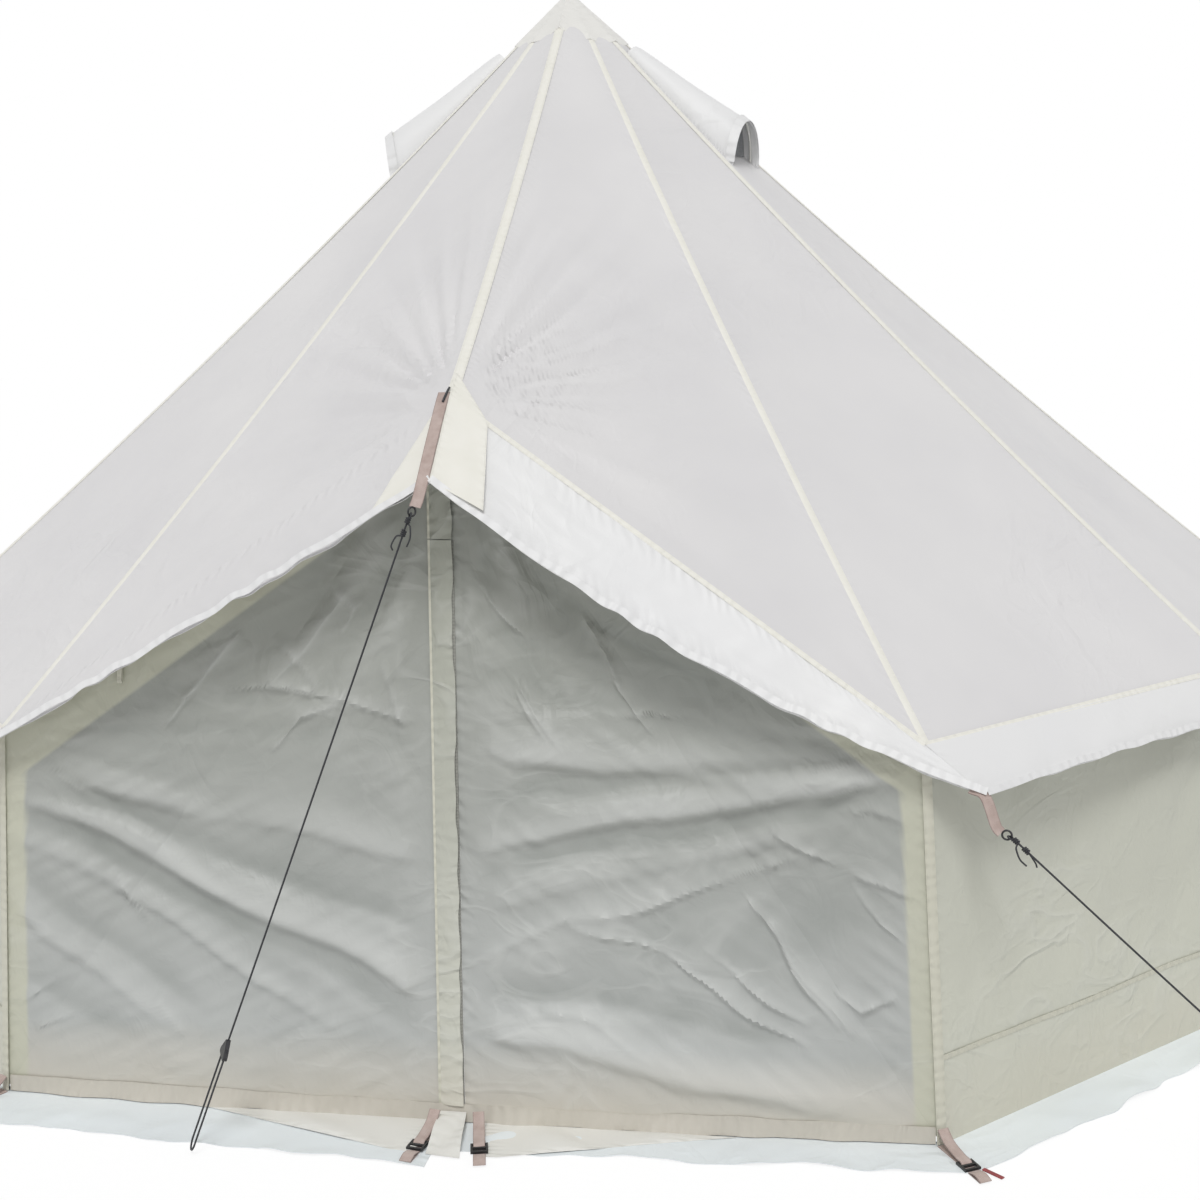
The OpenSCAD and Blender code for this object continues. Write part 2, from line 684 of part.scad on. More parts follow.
roof_panel(1);  // roof_panel_1
roof_panel(2);  // roof_panel_2
roof_panel(3);  // roof_panel_3
roof_panel(4);  // roof_panel_4
roof_panel(5);  // roof_panel_5
roof_panel(6);  // roof_panel_6
roof_panel(7);  // roof_panel_7
roof_panel(8);  // roof_panel_8
roof_panel(9);  // roof_panel_9
roof_panel(10);  // roof_panel_10
roof_front_left();
roof_front_right();
roof_cap();
roof_seam_tapes();
ridge_patch();
wall_panel(1);  // wall_panel_1
wall_panel(2);  // wall_panel_2
wall_panel(3);  // wall_panel_3
wall_panel(4);  // wall_panel_4
wall_panel(5);  // wall_panel_5
wall_panel(6);  // wall_panel_6
wall_panel(7);  // wall_panel_7
wall_panel(8);  // wall_panel_8
wall_panel(9);  // wall_panel_9
wall_panel(10);  // wall_panel_10
wall_trim();
eave_valance();
door_canopy();
mud_flap();
door_sill();
door_hems();
door_gable_left();
door_gable_right();
door_head();
door_leaf_left();
door_leaf_right();
storm_flap();
zip_coil();
zip_slider();
zip_pull();
door_ties();
pole_foot();
pole_lower();
pole_upper();
pole_tip();
apole_side(-1);  // apole_left
apole_side(1);  // apole_right
apole_bend();
vent_hoods();
vent_hoops();
vent_meshes();
guy_webbing();
guy_rings();
guy_rope_front();
guy_rope_right();
tensioner_front();
tensioner_right();
peg_straps();
ladder_locks();
buckle_pull();
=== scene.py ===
# %% [markdown]
# # A bell tent
# This lesson dresses a bell tent that was first built as solids. Cloth panels, cords and webbing are made
# here as soft pieces over that frame, and the hard pieces of the frame only get better materials.

# %% Start: load the frame
import bpy
import math
import numpy as np
from mathutils import Matrix, Vector


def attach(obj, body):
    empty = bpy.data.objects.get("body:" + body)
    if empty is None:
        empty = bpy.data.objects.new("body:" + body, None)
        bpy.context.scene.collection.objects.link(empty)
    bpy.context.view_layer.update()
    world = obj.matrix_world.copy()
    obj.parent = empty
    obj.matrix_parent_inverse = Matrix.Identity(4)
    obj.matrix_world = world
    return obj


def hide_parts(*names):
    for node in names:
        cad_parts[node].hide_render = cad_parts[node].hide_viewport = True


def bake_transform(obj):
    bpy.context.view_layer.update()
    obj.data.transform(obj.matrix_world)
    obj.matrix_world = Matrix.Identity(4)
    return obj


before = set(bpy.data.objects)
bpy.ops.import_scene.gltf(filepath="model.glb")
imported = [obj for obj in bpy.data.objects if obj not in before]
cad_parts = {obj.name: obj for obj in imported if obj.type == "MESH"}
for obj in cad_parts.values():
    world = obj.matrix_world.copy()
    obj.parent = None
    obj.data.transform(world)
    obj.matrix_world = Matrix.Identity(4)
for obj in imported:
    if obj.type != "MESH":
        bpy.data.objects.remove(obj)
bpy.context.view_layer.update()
bpy.ops.object.select_all(action="DESELECT")

# %% [markdown]
# ## The camera
# A camera is placed by a point, three turns and a lens. The turns are given as yaw (left or right), pitch
# (up or down) and roll, and the three axes worked out from them make the camera's matrix.

# %% Camera
def camera_axes(yaw, pitch, roll):
    ahead = Vector((-math.sin(yaw) * math.cos(pitch), math.cos(yaw) * math.cos(pitch), math.sin(pitch)))
    right = Vector((math.cos(yaw), math.sin(yaw), 0))
    up = right.cross(ahead)
    return (right * math.cos(roll) + up * math.sin(roll), up * math.cos(roll) - right * math.sin(roll), ahead)

eye = Vector((0.897, -4.829, 1.683))
axis_x, axis_y, ahead = camera_axes(0.176, -0.185, -0.029)
view_data = bpy.data.cameras.new("view_camera")
view_data.lens, view_data.sensor_width, view_data.sensor_fit = 49.96, 36.0, "HORIZONTAL"
view_camera = bpy.data.objects.new("view_camera", view_data)
bpy.context.scene.collection.objects.link(view_camera)
turn_matrix = Matrix((axis_x, axis_y, -ahead)).transposed().to_4x4()
view_camera.matrix_world = Matrix.Translation(eye) @ turn_matrix
bpy.context.scene.camera = view_camera
print("camera at", tuple(eye))

# %% [markdown]
# ## The measures of the tent
# These repeat the solids' named values, in metres, because a scene can't read them. `around` gives a point at
# a distance from the centre pole, an angle counted from the door, and a height.

# %% Measures
BASE_R, EAVE_R, WALL_H, PEAK_H = 2.0, 1.926, 0.8, 2.5
TURN, TOP_R = 30, 0.07
VALANCE_DROP, VALANCE_FLARE = 0.105, 0.05
SEAT = 0.0023
SEAM_SAG, RIDGE_SAG = 0.034, 0.022

def around(r, angle, z):
    a = math.radians(angle)
    return np.array((r * math.sin(a), -r * math.cos(a), z))

def mix(a, b, s):
    return a + (b - a) * s

def unit(v):
    return v / np.linalg.norm(v)

PEAK = np.array((0.0, 0.0, PEAK_H))
RIDGE = np.array((0.0, -1.477, 1.47))
DOOR_FOOT = np.array((0.0, -(BASE_R * math.cos(math.radians(TURN)) + 0.02), 0.0))
ZIP_FOOT = DOOR_FOOT + (0.036, 0, 0)
LEAF_TOP = mix(RIDGE, ZIP_FOOT, 0.23 / 1.47)
CANOPY_TIP = RIDGE + (0, -0.185, -0.155)

def eave(angle):
    return around(EAVE_R, angle, WALL_H)

def foot(angle, z=SEAT):
    return around(BASE_R - (BASE_R - EAVE_R) * z / WALL_H, angle, z)

def hem(angle):
    return around(EAVE_R + VALANCE_FLARE, angle, WALL_H - VALANCE_DROP)

def roof_top(angle):
    return mix(PEAK, RIDGE, TOP_R / 1.477) if angle == 0 else mix(PEAK, eave(angle), TOP_R / EAVE_R)

print("door foot", DOOR_FOOT, "leaf top", LEAF_TOP)

# %% [markdown]
# ## Pieces of cloth
# A plane becomes cloth in three moves: a grid is added, its points are laid between four corners, and a
# Solidify modifier gives it a thickness. A triangle is the same grid with two corners in one place, and its
# doubled points are merged. The grid's own map keeps, for each point, the way along the cloth and the
# distance to its nearest side seam, in metres, so that a material can pucker the cloth at its seams.

# %% Cloth helpers
def points_of(mesh):
    flat = np.empty(len(mesh.vertices) * 3)
    mesh.vertices.foreach_get("co", flat)
    return flat.reshape(-1, 3)

def put_points(mesh, points):
    mesh.vertices.foreach_set("co", np.asarray(points, dtype=float).ravel())
    mesh.update()

def put_map(mesh, pairs):
    corner = np.empty(len(mesh.loops), dtype=int)
    mesh.loops.foreach_get("vertex_index", corner)
    mesh.uv_layers[0].data.foreach_set("uv", pairs[corner].ravel())

def put_value(mesh, name, values):
    mesh.attributes.new(name, "FLOAT", "POINT").data.foreach_set("value", np.asarray(values, dtype=float))

def alone(piece):
    bpy.ops.object.select_all(action="DESELECT")
    piece.select_set(True)
    bpy.context.view_layer.objects.active = piece

def merge_doubles(piece, distance=1e-5):
    alone(piece)
    bpy.ops.object.mode_set(mode="EDIT")
    bpy.ops.mesh.select_all(action="SELECT")
    bpy.ops.mesh.remove_doubles(threshold=distance)
    bpy.ops.object.mode_set(mode="OBJECT")

def thicken(piece, thickness, offset=-1.0):
    alone(piece)
    wall = piece.modifiers.new("Thickness", "SOLIDIFY")
    wall.thickness, wall.offset = thickness, offset
    bpy.ops.object.modifier_apply(modifier=wall.name)
    bpy.ops.object.shade_smooth_by_angle(angle=math.radians(45))

def join(name, pieces):
    alone(pieces[0])
    for piece in pieces[1:]:
        piece.select_set(True)
    if len(pieces) > 1:
        bpy.ops.object.join()
    pieces[0].name = pieces[0].data.name = name
    return pieces[0]

def ripple(points, size, seed, waves=9):
    """A soft uneven field between about -1 and 1: a few sines in fixed random directions."""
    rng = np.random.default_rng(seed)
    ways = rng.normal(size=(waves, points.shape[1]))
    ways /= np.linalg.norm(ways, axis=1)[:, None]
    lengths = size * rng.uniform(0.6, 1.7, waves)
    return np.sin(points @ (ways / lengths[:, None]).T * 2 * math.pi + rng.uniform(0, 6.28,
            waves)).sum(1) / waves ** 0.5 / 1.3

def cloth(name, corners, along, across, shape=None, thickness=0.0015, values=None):
    """corners: start left, end left, end right, start right. The cloth runs along from start to end."""
    bpy.ops.mesh.primitive_grid_add(x_subdivisions=along, y_subdivisions=across, size=2)
    piece = bpy.context.object
    piece.name = piece.data.name = name
    square = points_of(piece.data)
    u, v = (square[:, 0] + 1) / 2, (square[:, 1] + 1) / 2
    a, b, c, d = (np.asarray(k, dtype=float) for k in corners)
    left, right = a + np.outer(u, b - a), d + np.outer(u, c - d)
    place = left + (right - left) * v[:, None]
    width = np.linalg.norm(right - left, axis=1)
    put_map(piece.data, np.stack([u * np.linalg.norm((b + c - a - d) / 2), np.minimum(v, 1 - v) * width], 1))
    if values is not None:
        for key, row in values(place, u, v).items():
            put_value(piece.data, key, row)
    if shape is not None:
        place = place + shape(place, u, v)
    put_points(piece.data, place)
    merge_doubles(piece)
    if thickness:
        thicken(piece, thickness)
    return piece

def cut_area(corners):
    a, b, c, d = (np.asarray(k, dtype=float) for k in corners)
    return (np.linalg.norm(np.cross(b - a, c - a)) + np.linalg.norm(np.cross(c - a, d - a))) / 2

def settle(piece, body, finish, nodes=()):
    """Gives a finished piece its material and its body, and hides the solids that it stands for."""
    piece.data.materials.clear()
    piece.data.materials.append(finish)
    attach(piece, body)
    if nodes:
        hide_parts(*nodes)
    return piece

def cut_sheet(cuts):
    """Works out the area, the longest side and the width of a cloth piece's flat panels; nothing is done with them.
    """
    area = sum(cut_area(c) for c in cuts)
    long = max(np.linalg.norm(np.asarray(c[k]) - np.asarray(c[j])) for c in cuts for j,
            k in ((0, 1), (3, 2), (0, 2), (1, 3)))
    wide = area / long
    wide = wide * (1.0 if len(cuts) > 1 else 1.6)

# %% [markdown]
# ## Writing a material as sums
# A shader is a graph of nodes. `Link` wraps one output, and Python's own signs then add the Math nodes, so
# a mask is written as it would be on paper. `Finish` is one material, and its `add` makes any other node.

# %% Material helpers
class Link:
    def __init__(self, finish, socket):
        self.finish, self.socket = finish, socket

    def maths(self, operation, *others, clamp=False):
        return self.finish.add("ShaderNodeMath", {"operation": operation, "use_clamp": clamp},
                               dict(enumerate((self,) + others)))

    def __add__(self, other): return self.maths("ADD", other)
    def __sub__(self, other): return self.maths("SUBTRACT", other)
    def __mul__(self, other): return self.maths("MULTIPLY", other)
    def __truediv__(self, other): return self.maths("DIVIDE", other)
    def __rsub__(self, other): return (self * -1.0) + other
    __radd__, __rmul__ = __add__, __mul__

    def clamped(self): return self.maths("ADD", 0.0, clamp=True)
    def sine(self): return self.maths("SINE")
    def size(self): return self.maths("ABSOLUTE")
    def rise(self, low, high): return ((self - low) / (high - low)).clamped()


class Finish:
    def __init__(self, name):
        self.material = bpy.data.materials.new(name)
        self.material.use_nodes = True
        self.nodes, self.links = self.material.node_tree.nodes, self.material.node_tree.links
        self.nodes.clear()
        self.out = self.nodes.new("ShaderNodeOutputMaterial")

    def add(self, kind, settings=None, inputs=None, output=0):
        node = self.nodes.new(kind)
        for key, value in (settings or {}).items():
            setattr(node, key, value)
        for key, value in (inputs or {}).items():
            if isinstance(value, Link):
                self.links.new(value.socket, node.inputs[key])
            else:
                node.inputs[key].default_value = value
        return Link(self, node.outputs[output])

    def place(self): return self.add("ShaderNodeTexCoord", output=3)
    def map(self): return self.add("ShaderNodeTexCoord", output=2)
    def parts(self, vector):
        node = self.add("ShaderNodeSeparateXYZ", None, {0: vector}).socket.node
        return [Link(self, s) for s in node.outputs]

    def value_of(self, name): return self.add("ShaderNodeAttribute", {"attribute_name": name}, output=2)

    def noise(self, scale, detail=3.0, vector=None, distortion=0.0, roughness=0.55):
        return self.add("ShaderNodeTexNoise", None, {"Vector": vector or self.place(), "Scale": scale,
                        "Detail": detail, "Distortion": distortion, "Roughness": roughness})

    def stretched(self, turns, scale):
        return self.add("ShaderNodeMapping", None, {"Vector": self.place(), "Rotation": turns, "Scale": scale})

    def blend(self, mask, first, second):
        node = self.nodes.new("ShaderNodeMix")
        node.data_type = "RGBA"
        for socket, value in zip((node.inputs[0], node.inputs[6], node.inputs[7]), (mask, first, second)):
            if isinstance(value, Link):
                self.links.new(value.socket, socket)
            else:
                socket.default_value = value
        return Link(self, node.outputs[2])

    def bump(self, height, distance, strength=1.0, normal=None):
        inputs = {"Height": height, "Distance": distance, "Strength": strength}
        if normal is not None:
            inputs["Normal"] = normal
        return self.add("ShaderNodeBump", None, inputs)

    def finish(self, colour, roughness, normal=None, metallic=0.0, alpha=None, coat=0.0, sheen=0.0):
        inputs = {"Base Color": colour, "Roughness": roughness, "Metallic": metallic, "Coat Weight": coat,
                  "Sheen Weight": sheen}
        if normal is not None:
            inputs["Normal"] = normal
        if alpha is not None:
            inputs["Alpha"] = alpha
        surface = self.add("ShaderNodeBsdfPrincipled", None, inputs)
        self.links.new(surface.socket, self.out.inputs["Surface"])
        return self.material

def rgb(r, g, b): return (r, g, b, 1.0)

# %% [markdown]
# ## Cloth finishes
# Coated tent cloth is smooth and slightly glossy. It keeps the sharp creases of its packing, which are thin
# crooked lines: the places where a stretched, distorted noise crosses its middle value. Along each seam the
# thread gathers the cloth into short puckers that fade within a hand's width. The grid's map gives both.

# %% Cloth finishes
def creases(f, scale, stretch=(1, 1, 1), turn=(0, 0, 0), sharp=14.0, detail=2.0):
    field = f.noise(scale, detail, f.stretched(turn, stretch), distortion=0.9, roughness=0.5)
    return 1 - ((field - 0.5).size() * sharp).clamped()

def puckers(f, reach=0.07, step=210.0):
    along, off, _ = f.parts(f.map())
    wobble = f.noise(9.0, 2.0) * 14.0
    fade = (1 - off / reach).clamped()
    return (along * step + wobble).sine() * fade * fade

def roof_finish(name, colour, pucker=0.0011, crease=0.0016, shade=0.93):
    f = Finish(name)
    broad = f.noise(2.2, 3.0)
    fine = creases(f, 3.1, (1, 1, 1.6), (0.3, 0.5, 0.2))
    small = creases(f, 9.5, (1.4, 1, 0.7), (0.2, 0.1, 0.9), sharp=10)
    grain = f.noise(420.0, 2.0)
    where = f.noise(1.3, 1.0).rise(0.44, 0.66)
    height = fine * where + small * where * 0.35
    normal = f.bump(height, crease, 0.9)
    normal = f.bump(puckers(f), pucker, 1.0, normal)
    normal = f.bump(grain, 0.00025, 0.5, normal)
    dark = rgb(colour[0] * shade, colour[1] * shade, colour[2] * (shade + 0.01))
    tone = f.blend(broad.rise(0.3, 0.7), dark, rgb(*colour))
    return f.finish(tone, f.noise(30.0, 2.0) * 0.16 + 0.44, normal, sheen=0.08)

ROOF = roof_finish("roof_cloth", (0.785, 0.775, 0.775), crease=0.0022)
VALANCE = roof_finish("valance_cloth", (0.86, 0.86, 0.855), crease=0.0015, shade=0.96)
CAP = roof_finish("cap_cloth", (0.86, 0.85, 0.81), shade=0.96)

def wall_finish(name, pale, dark, low, border=None, fold_light_and_shade=0.0, crease=0.0014, facet=0.0):
    """Thin cloth that the light comes through, with its light and shade painted in: darker high up, which is
    painted shade under the eave and canopy together with the dark inside seen through the cloth, and warmer in its
    lowest hand's width, which is painted light bounced up from the ground. Its crease lines get a painted
    highlight, and where asked the ridges of its folds get a painted highlight and their hollows painted shade.
    """
    f = Finish(name)
    x, y, z = f.parts(f.place())
    lift = f.noise(3.0, 3.0) * 0.24 - 0.12
    # Darker high up: painted shade under the eave and canopy, together with the dark inside of the tent seen
    # through the cloth.
    tone = f.blend((z + lift).rise(0.25, 1.05), rgb(*pale), rgb(*dark))
    # Painted highlight on the ridges of the folds and painted shade in their hollows, following the stored fold
    # height.
    if fold_light_and_shade:
        fold = f.value_of("fold")
        tone = f.blend(fold.rise(0.03, 0.9) * fold_light_and_shade, tone, rgb(0.74, 0.75, 0.73))
        tone = f.blend(((fold * -1.0).rise(0.03, 0.9)) * fold_light_and_shade, tone, rgb(0.20, 0.22, 0.20))
    # The warmer lowest hand's width is painted light, bounced up from the ground.
    tone = f.blend(1 - (z + lift * 0.2).rise(0.015, 0.17), tone, rgb(*low))
    if border:
        near = f.value_of("border")
        tone = f.blend(near * 0.85, tone, rgb(*border))
    lines = creases(f, 5.2, (1, 1, 1.9), (0.0, 0.5, 0.1), sharp=12)
    small = creases(f, 15.0, (1, 1, 0.8), (0.1, 0.8, 0.3), sharp=8)
    patchy = f.noise(2.1, 1.0).rise(0.4, 0.65)
    normal = f.bump(lines * patchy + small * 0.3, crease, 0.9)
    if facet:
        bent = f.add("ShaderNodeVectorMath", {"operation": "ADD"},
                {0: f.stretched((0.4, 0.3, 0.5), (1, 1, 0.8)),
                     1: f.add("ShaderNodeTexNoise", None, {"Vector": f.place(), "Scale": 3.0}, output=1)})
        flats = [f.add("ShaderNodeTexVoronoi", {"distance": "MANHATTAN"},
                {"Vector": bent, "Scale": k}) for k in (5.0, 12.0)]
        high = (z + lift).rise(0.35, 0.85) * 0.8 + 0.2
        normal = f.bump((flats[0] + flats[1] * 0.35) * high, facet, 0.9, normal)
    normal = f.bump(puckers(f, 0.05), 0.0009, 1.0, normal)
    normal = f.bump(f.noise(500.0, 2.0), 0.0002, 0.5, normal)
    # Painted highlight along the crease lines.
    tone = f.blend(lines * patchy * 0.16, tone, rgb(0.74, 0.75, 0.72))
    return f.finish(tone, f.noise(25.0, 2.0) * 0.15 + 0.42, normal, sheen=0.05)

WALL = wall_finish("wall_cloth", (0.64, 0.645, 0.555), (0.48, 0.49, 0.43), (0.66, 0.64, 0.54), crease=0.003)
# The door's colours are darker than the wall's: painted shade of the dark inside of the tent seen through the thin
# cloth. Its folds also get painted highlights on their ridges and painted shade in their hollows.
DOOR = wall_finish("door_cloth", (0.48, 0.495, 0.48), (0.35, 0.36, 0.325), (0.64, 0.60, 0.52),
                   border=(0.60, 0.60, 0.48), fold_light_and_shade=0.42, facet=0.006)
STORM = wall_finish("storm_flap_cloth", (0.60, 0.605, 0.53), (0.42, 0.43, 0.37), (0.68, 0.65, 0.56),
        crease=0.003)

# %% [markdown]
# ## Tapes, webbing, cord, plastic, metal and mesh
# Sewn tapes show two rows of stitches, which are dots along the map. Webbing has slanted ribs, braided cord
# has crossing ones, moulded plastic has a faint grain and brushed metal has lines along the tube.

# %% Small finishes
def tape_finish(name, colour):
    f = Finish(name)
    along, off, _ = f.parts(f.map())
    row = 1 - ((off - 0.003).size() / 0.0007).clamped()
    stitch = row * (along * 1500.0).sine().rise(-0.2, 0.3)
    normal = f.bump(puckers(f, 0.03, 260.0), 0.0009, 1.0,
            f.bump(stitch, 0.0005, 0.8, f.bump(f.noise(600.0), 0.0002, 0.4)))
    tone = f.blend(stitch * 0.5, rgb(*colour), rgb(colour[0] * 0.8, colour[1] * 0.79, colour[2] * 0.72))
    return f.finish(f.blend(f.noise(14.0).rise(0.35, 0.7) * 0.5, tone,
            rgb(colour[0] * 0.93, colour[1] * 0.93, colour[2] * 0.9)),
                    f.noise(60.0) * 0.15 + 0.5, normal, sheen=0.1)

def webbing_finish(name, colour):
    f = Finish(name)
    along, off, _ = f.parts(f.map())
    rib = (along * 1800.0 + off * 900.0).sine() * 0.5 + 0.5
    edge = 1 - (off / 0.0022).clamped()
    worn = f.noise(45.0, 4.0)
    tone = f.blend(worn.rise(0.35, 0.75), rgb(*colour),
            rgb(colour[0] * 0.74, colour[1] * 0.68, colour[2] * 0.66))
    tone = f.blend(rib * 0.35, tone, rgb(colour[0] * 0.7, colour[1] * 0.66, colour[2] * 0.62))
    tone = f.blend(edge * 0.45, tone, rgb(0.12, 0.06, 0.06))
    return f.finish(tone, 0.72 + worn * 0.12, f.bump(rib, 0.0004, 0.9, f.bump(worn, 0.0005, 0.4)), sheen=0.25)

def cord_finish(name):
    f = Finish(name)
    along, turn, _ = f.parts(f.map())
    braid = (along * 1500.0 + turn * 12.6).sine() * (along * 1500.0 - turn * 12.6).sine()
    tone = f.blend(braid.rise(-0.6, 0.9), rgb(0.012, 0.013, 0.016), rgb(0.06, 0.062, 0.07))
    return f.finish(tone, 0.62 + f.noise(80.0) * 0.15, f.bump(braid, 0.0004, 0.8), sheen=0.1)

def plastic_finish(name, colour, rough=0.34):
    f = Finish(name)
    wear = f.noise(120.0, 4.0)
    tone = f.blend(wear.rise(0.55, 0.8) * 0.5, rgb(*colour), rgb(*(min(1, c * 1.6 + 0.02) for c in colour)))
    return f.finish(tone, rough + wear * 0.16, f.bump(f.noise(900.0, 2.0), 0.00008, 0.6), coat=0.1)

def metal_finish(name, colour, along=(1, 1, 0.02), rough=0.24):
    f = Finish(name)
    line = f.noise(700.0, 2.0, f.stretched((0, 0, 0), along))
    smudge = f.noise(7.0, 3.0)
    tone = f.blend(line, rgb(*colour), rgb(*(c * 0.86 for c in colour)))
    return f.finish(tone, rough + line * 0.12 + smudge * 0.1, f.bump(line, 0.00005, 0.6), metallic=1.0)

def mesh_finish(name):
    f = Finish(name)
    x, y, z = f.parts(f.place())
    holes = ((x - y) * 2600.0).sine().size().rise(0.25, 0.5) * (z * 2600.0).sine().size().rise(0.25, 0.5)
    tone = f.blend(f.noise(60.0), rgb(0.20, 0.21, 0.22), rgb(0.30, 0.31, 0.32))
    return f.finish(tone, 0.7 + holes * 0.1, None, alpha=1 - holes * 0.75)

def zip_finish(name):
    f = Finish(name)
    x, y, z = f.parts(f.place())
    tooth = (z * 2200.0).sine() * 0.5 + 0.5
    tone = f.blend(tooth, rgb(0.20, 0.20, 0.18), rgb(0.50, 0.50, 0.45))
    return f.finish(tone, 0.4 + tooth * 0.2, f.bump(tooth, 0.0006, 1.0))

TAPE = tape_finish("seam_tape", (0.90, 0.885, 0.82))
WALL_TAPE = tape_finish("wall_tape", (0.66, 0.65, 0.55))
SILL = roof_finish("sill_cloth", (0.61, 0.575, 0.50), crease=0.001, shade=0.95)
HEM = roof_finish("hem_cloth", (0.83, 0.82, 0.77), crease=0.002, shade=0.92)
FLAP = roof_finish("flap_cloth", (0.87, 0.92, 0.935), crease=0.003, shade=0.93)
WEBBING = webbing_finish("webbing", (0.60, 0.49, 0.45))
RED = webbing_finish("red_pull", (0.55, 0.05, 0.06))
CORD = cord_finish("cord")
PLASTIC = plastic_finish("black_plastic", (0.018, 0.018, 0.02))
HOOP = plastic_finish("hoop_rod", (0.72, 0.72, 0.68), 0.4)
POLE = metal_finish("pole_metal", (0.72, 0.73, 0.74))
ZIP_METAL = metal_finish("zip_metal", (0.62, 0.61, 0.58), (1, 1, 0.2))
ZIP = zip_finish("zip_coil")
MESH = mesh_finish("insect_mesh")
print("materials", len(bpy.data.materials))

# %% [markdown]
# ## The guy lines
# Each guy line is a cord from a webbing ring to a sliding tensioner, and a second cord that runs from the
# tensioner round the peg's place and back. A tube is a grid wrapped round a path: one side of the grid
# follows the path and the other goes round it.

# %% Cord helpers
def curve_through(points, count):
    """Points on one smooth line through the given ones, evenly spaced."""
    p = np.asarray(points, dtype=float)
    p = np.vstack([2 * p[0] - p[1], p, 2 * p[-1] - p[-2]])
    rows = []
    for i in range(1, len(p) - 2):
        t = np.linspace(0, 1, 40, endpoint=i == len(p) - 3)[:, None]
        a, b, c, d = p[i - 1], p[i], p[i + 1], p[i + 2]
        rows.append(0.5 * (2 * b + (c - a) * t + (2 * a - 5 * b + 4 * c - d) * t ** 2 + (3 * b - a - 3 * c + d) * t ** 3))
    line = np.vstack(rows)
    way = np.concatenate([[0], np.cumsum(np.linalg.norm(np.diff(line, axis=0), axis=1))])
    return np.stack([np.interp(np.linspace(0, way[-1], count), way, line[:, k]) for k in range(3)], 1)

def length_of(path):
    return float(np.linalg.norm(np.diff(path, axis=0), axis=1).sum())

def tube(name, path, diameter, round_count=12):
    count = len(path) - 1
    bpy.ops.mesh.primitive_grid_add(x_subdivisions=count, y_subdivisions=round_count, size=2)
    piece = bpy.context.object
    piece.name = piece.data.name = name
    square = points_of(piece.data)
    step = np.rint((square[:, 0] + 1) / 2 * count).astype(int)
    v = (square[:, 1] + 1) / 2
    ahead = np.gradient(path, axis=0)
    ahead /= np.linalg.norm(ahead, axis=1)[:, None]
    side = np.cross(ahead[0], (0.3, 0.2, 1.0))
    sides = []
    for row in ahead:
        side = unit(side - row * (side @ row))
        sides.append(side)
    sides = np.array(sides)
    other = np.cross(ahead, sides)
    angle = v * 2 * math.pi
    place = path[step] + (sides[step] * np.cos(angle)[:, None] + other[step] * np.sin(angle)[:,
            None]) * diameter / 2
    put_map(piece.data, np.stack([step / count * length_of(path), v], 1))
    put_points(piece.data, place)
    merge_doubles(piece, 1e-6)
    alone(piece)
    bpy.ops.object.mode_set(mode="EDIT")
    bpy.ops.mesh.select_all(action="SELECT")
    bpy.ops.mesh.fill_holes(sides=0)
    bpy.ops.mesh.normals_make_consistent(inside=False)
    bpy.ops.object.mode_set(mode="OBJECT")
    bpy.ops.object.shade_smooth_by_angle(angle=math.radians(50))
    return piece

ROPE, RING, TENS_UP = 0.004, 0.022, 0.225
GAP = 0.0003

def knot(name, centre, way, tail=0.045, turn=0.0):
    """Three wraps round the cord and a short free tail."""
    side = unit(np.cross(way, (0.2, 0.4, 1.0)))
    other = np.cross(way, side)
    t = np.linspace(0, 1, 60)
    wrap = np.array([centre + way * (s - 0.5) * 0.013 + (side * math.cos(s * 20 + turn) + other * math.sin(s * 20 + turn)) * 0.0042
                     for s in t])
    lump = tube(name, wrap, 0.0036, 8)
    start = wrap[-1]
    out = unit(start - centre - way * ((start - centre) @ way))
    loose = curve_through([start, start + out * 0.008 + way * 0.004,
            start + out * 0.014 + way * 0.018 + (0, 0, -0.006),
                           start + out * 0.010 + way * tail * 0.7 + (0, 0, -0.012)], 16)
    return join(name, [lump, tube(name + "_tail", loose, 0.0034, 8)])

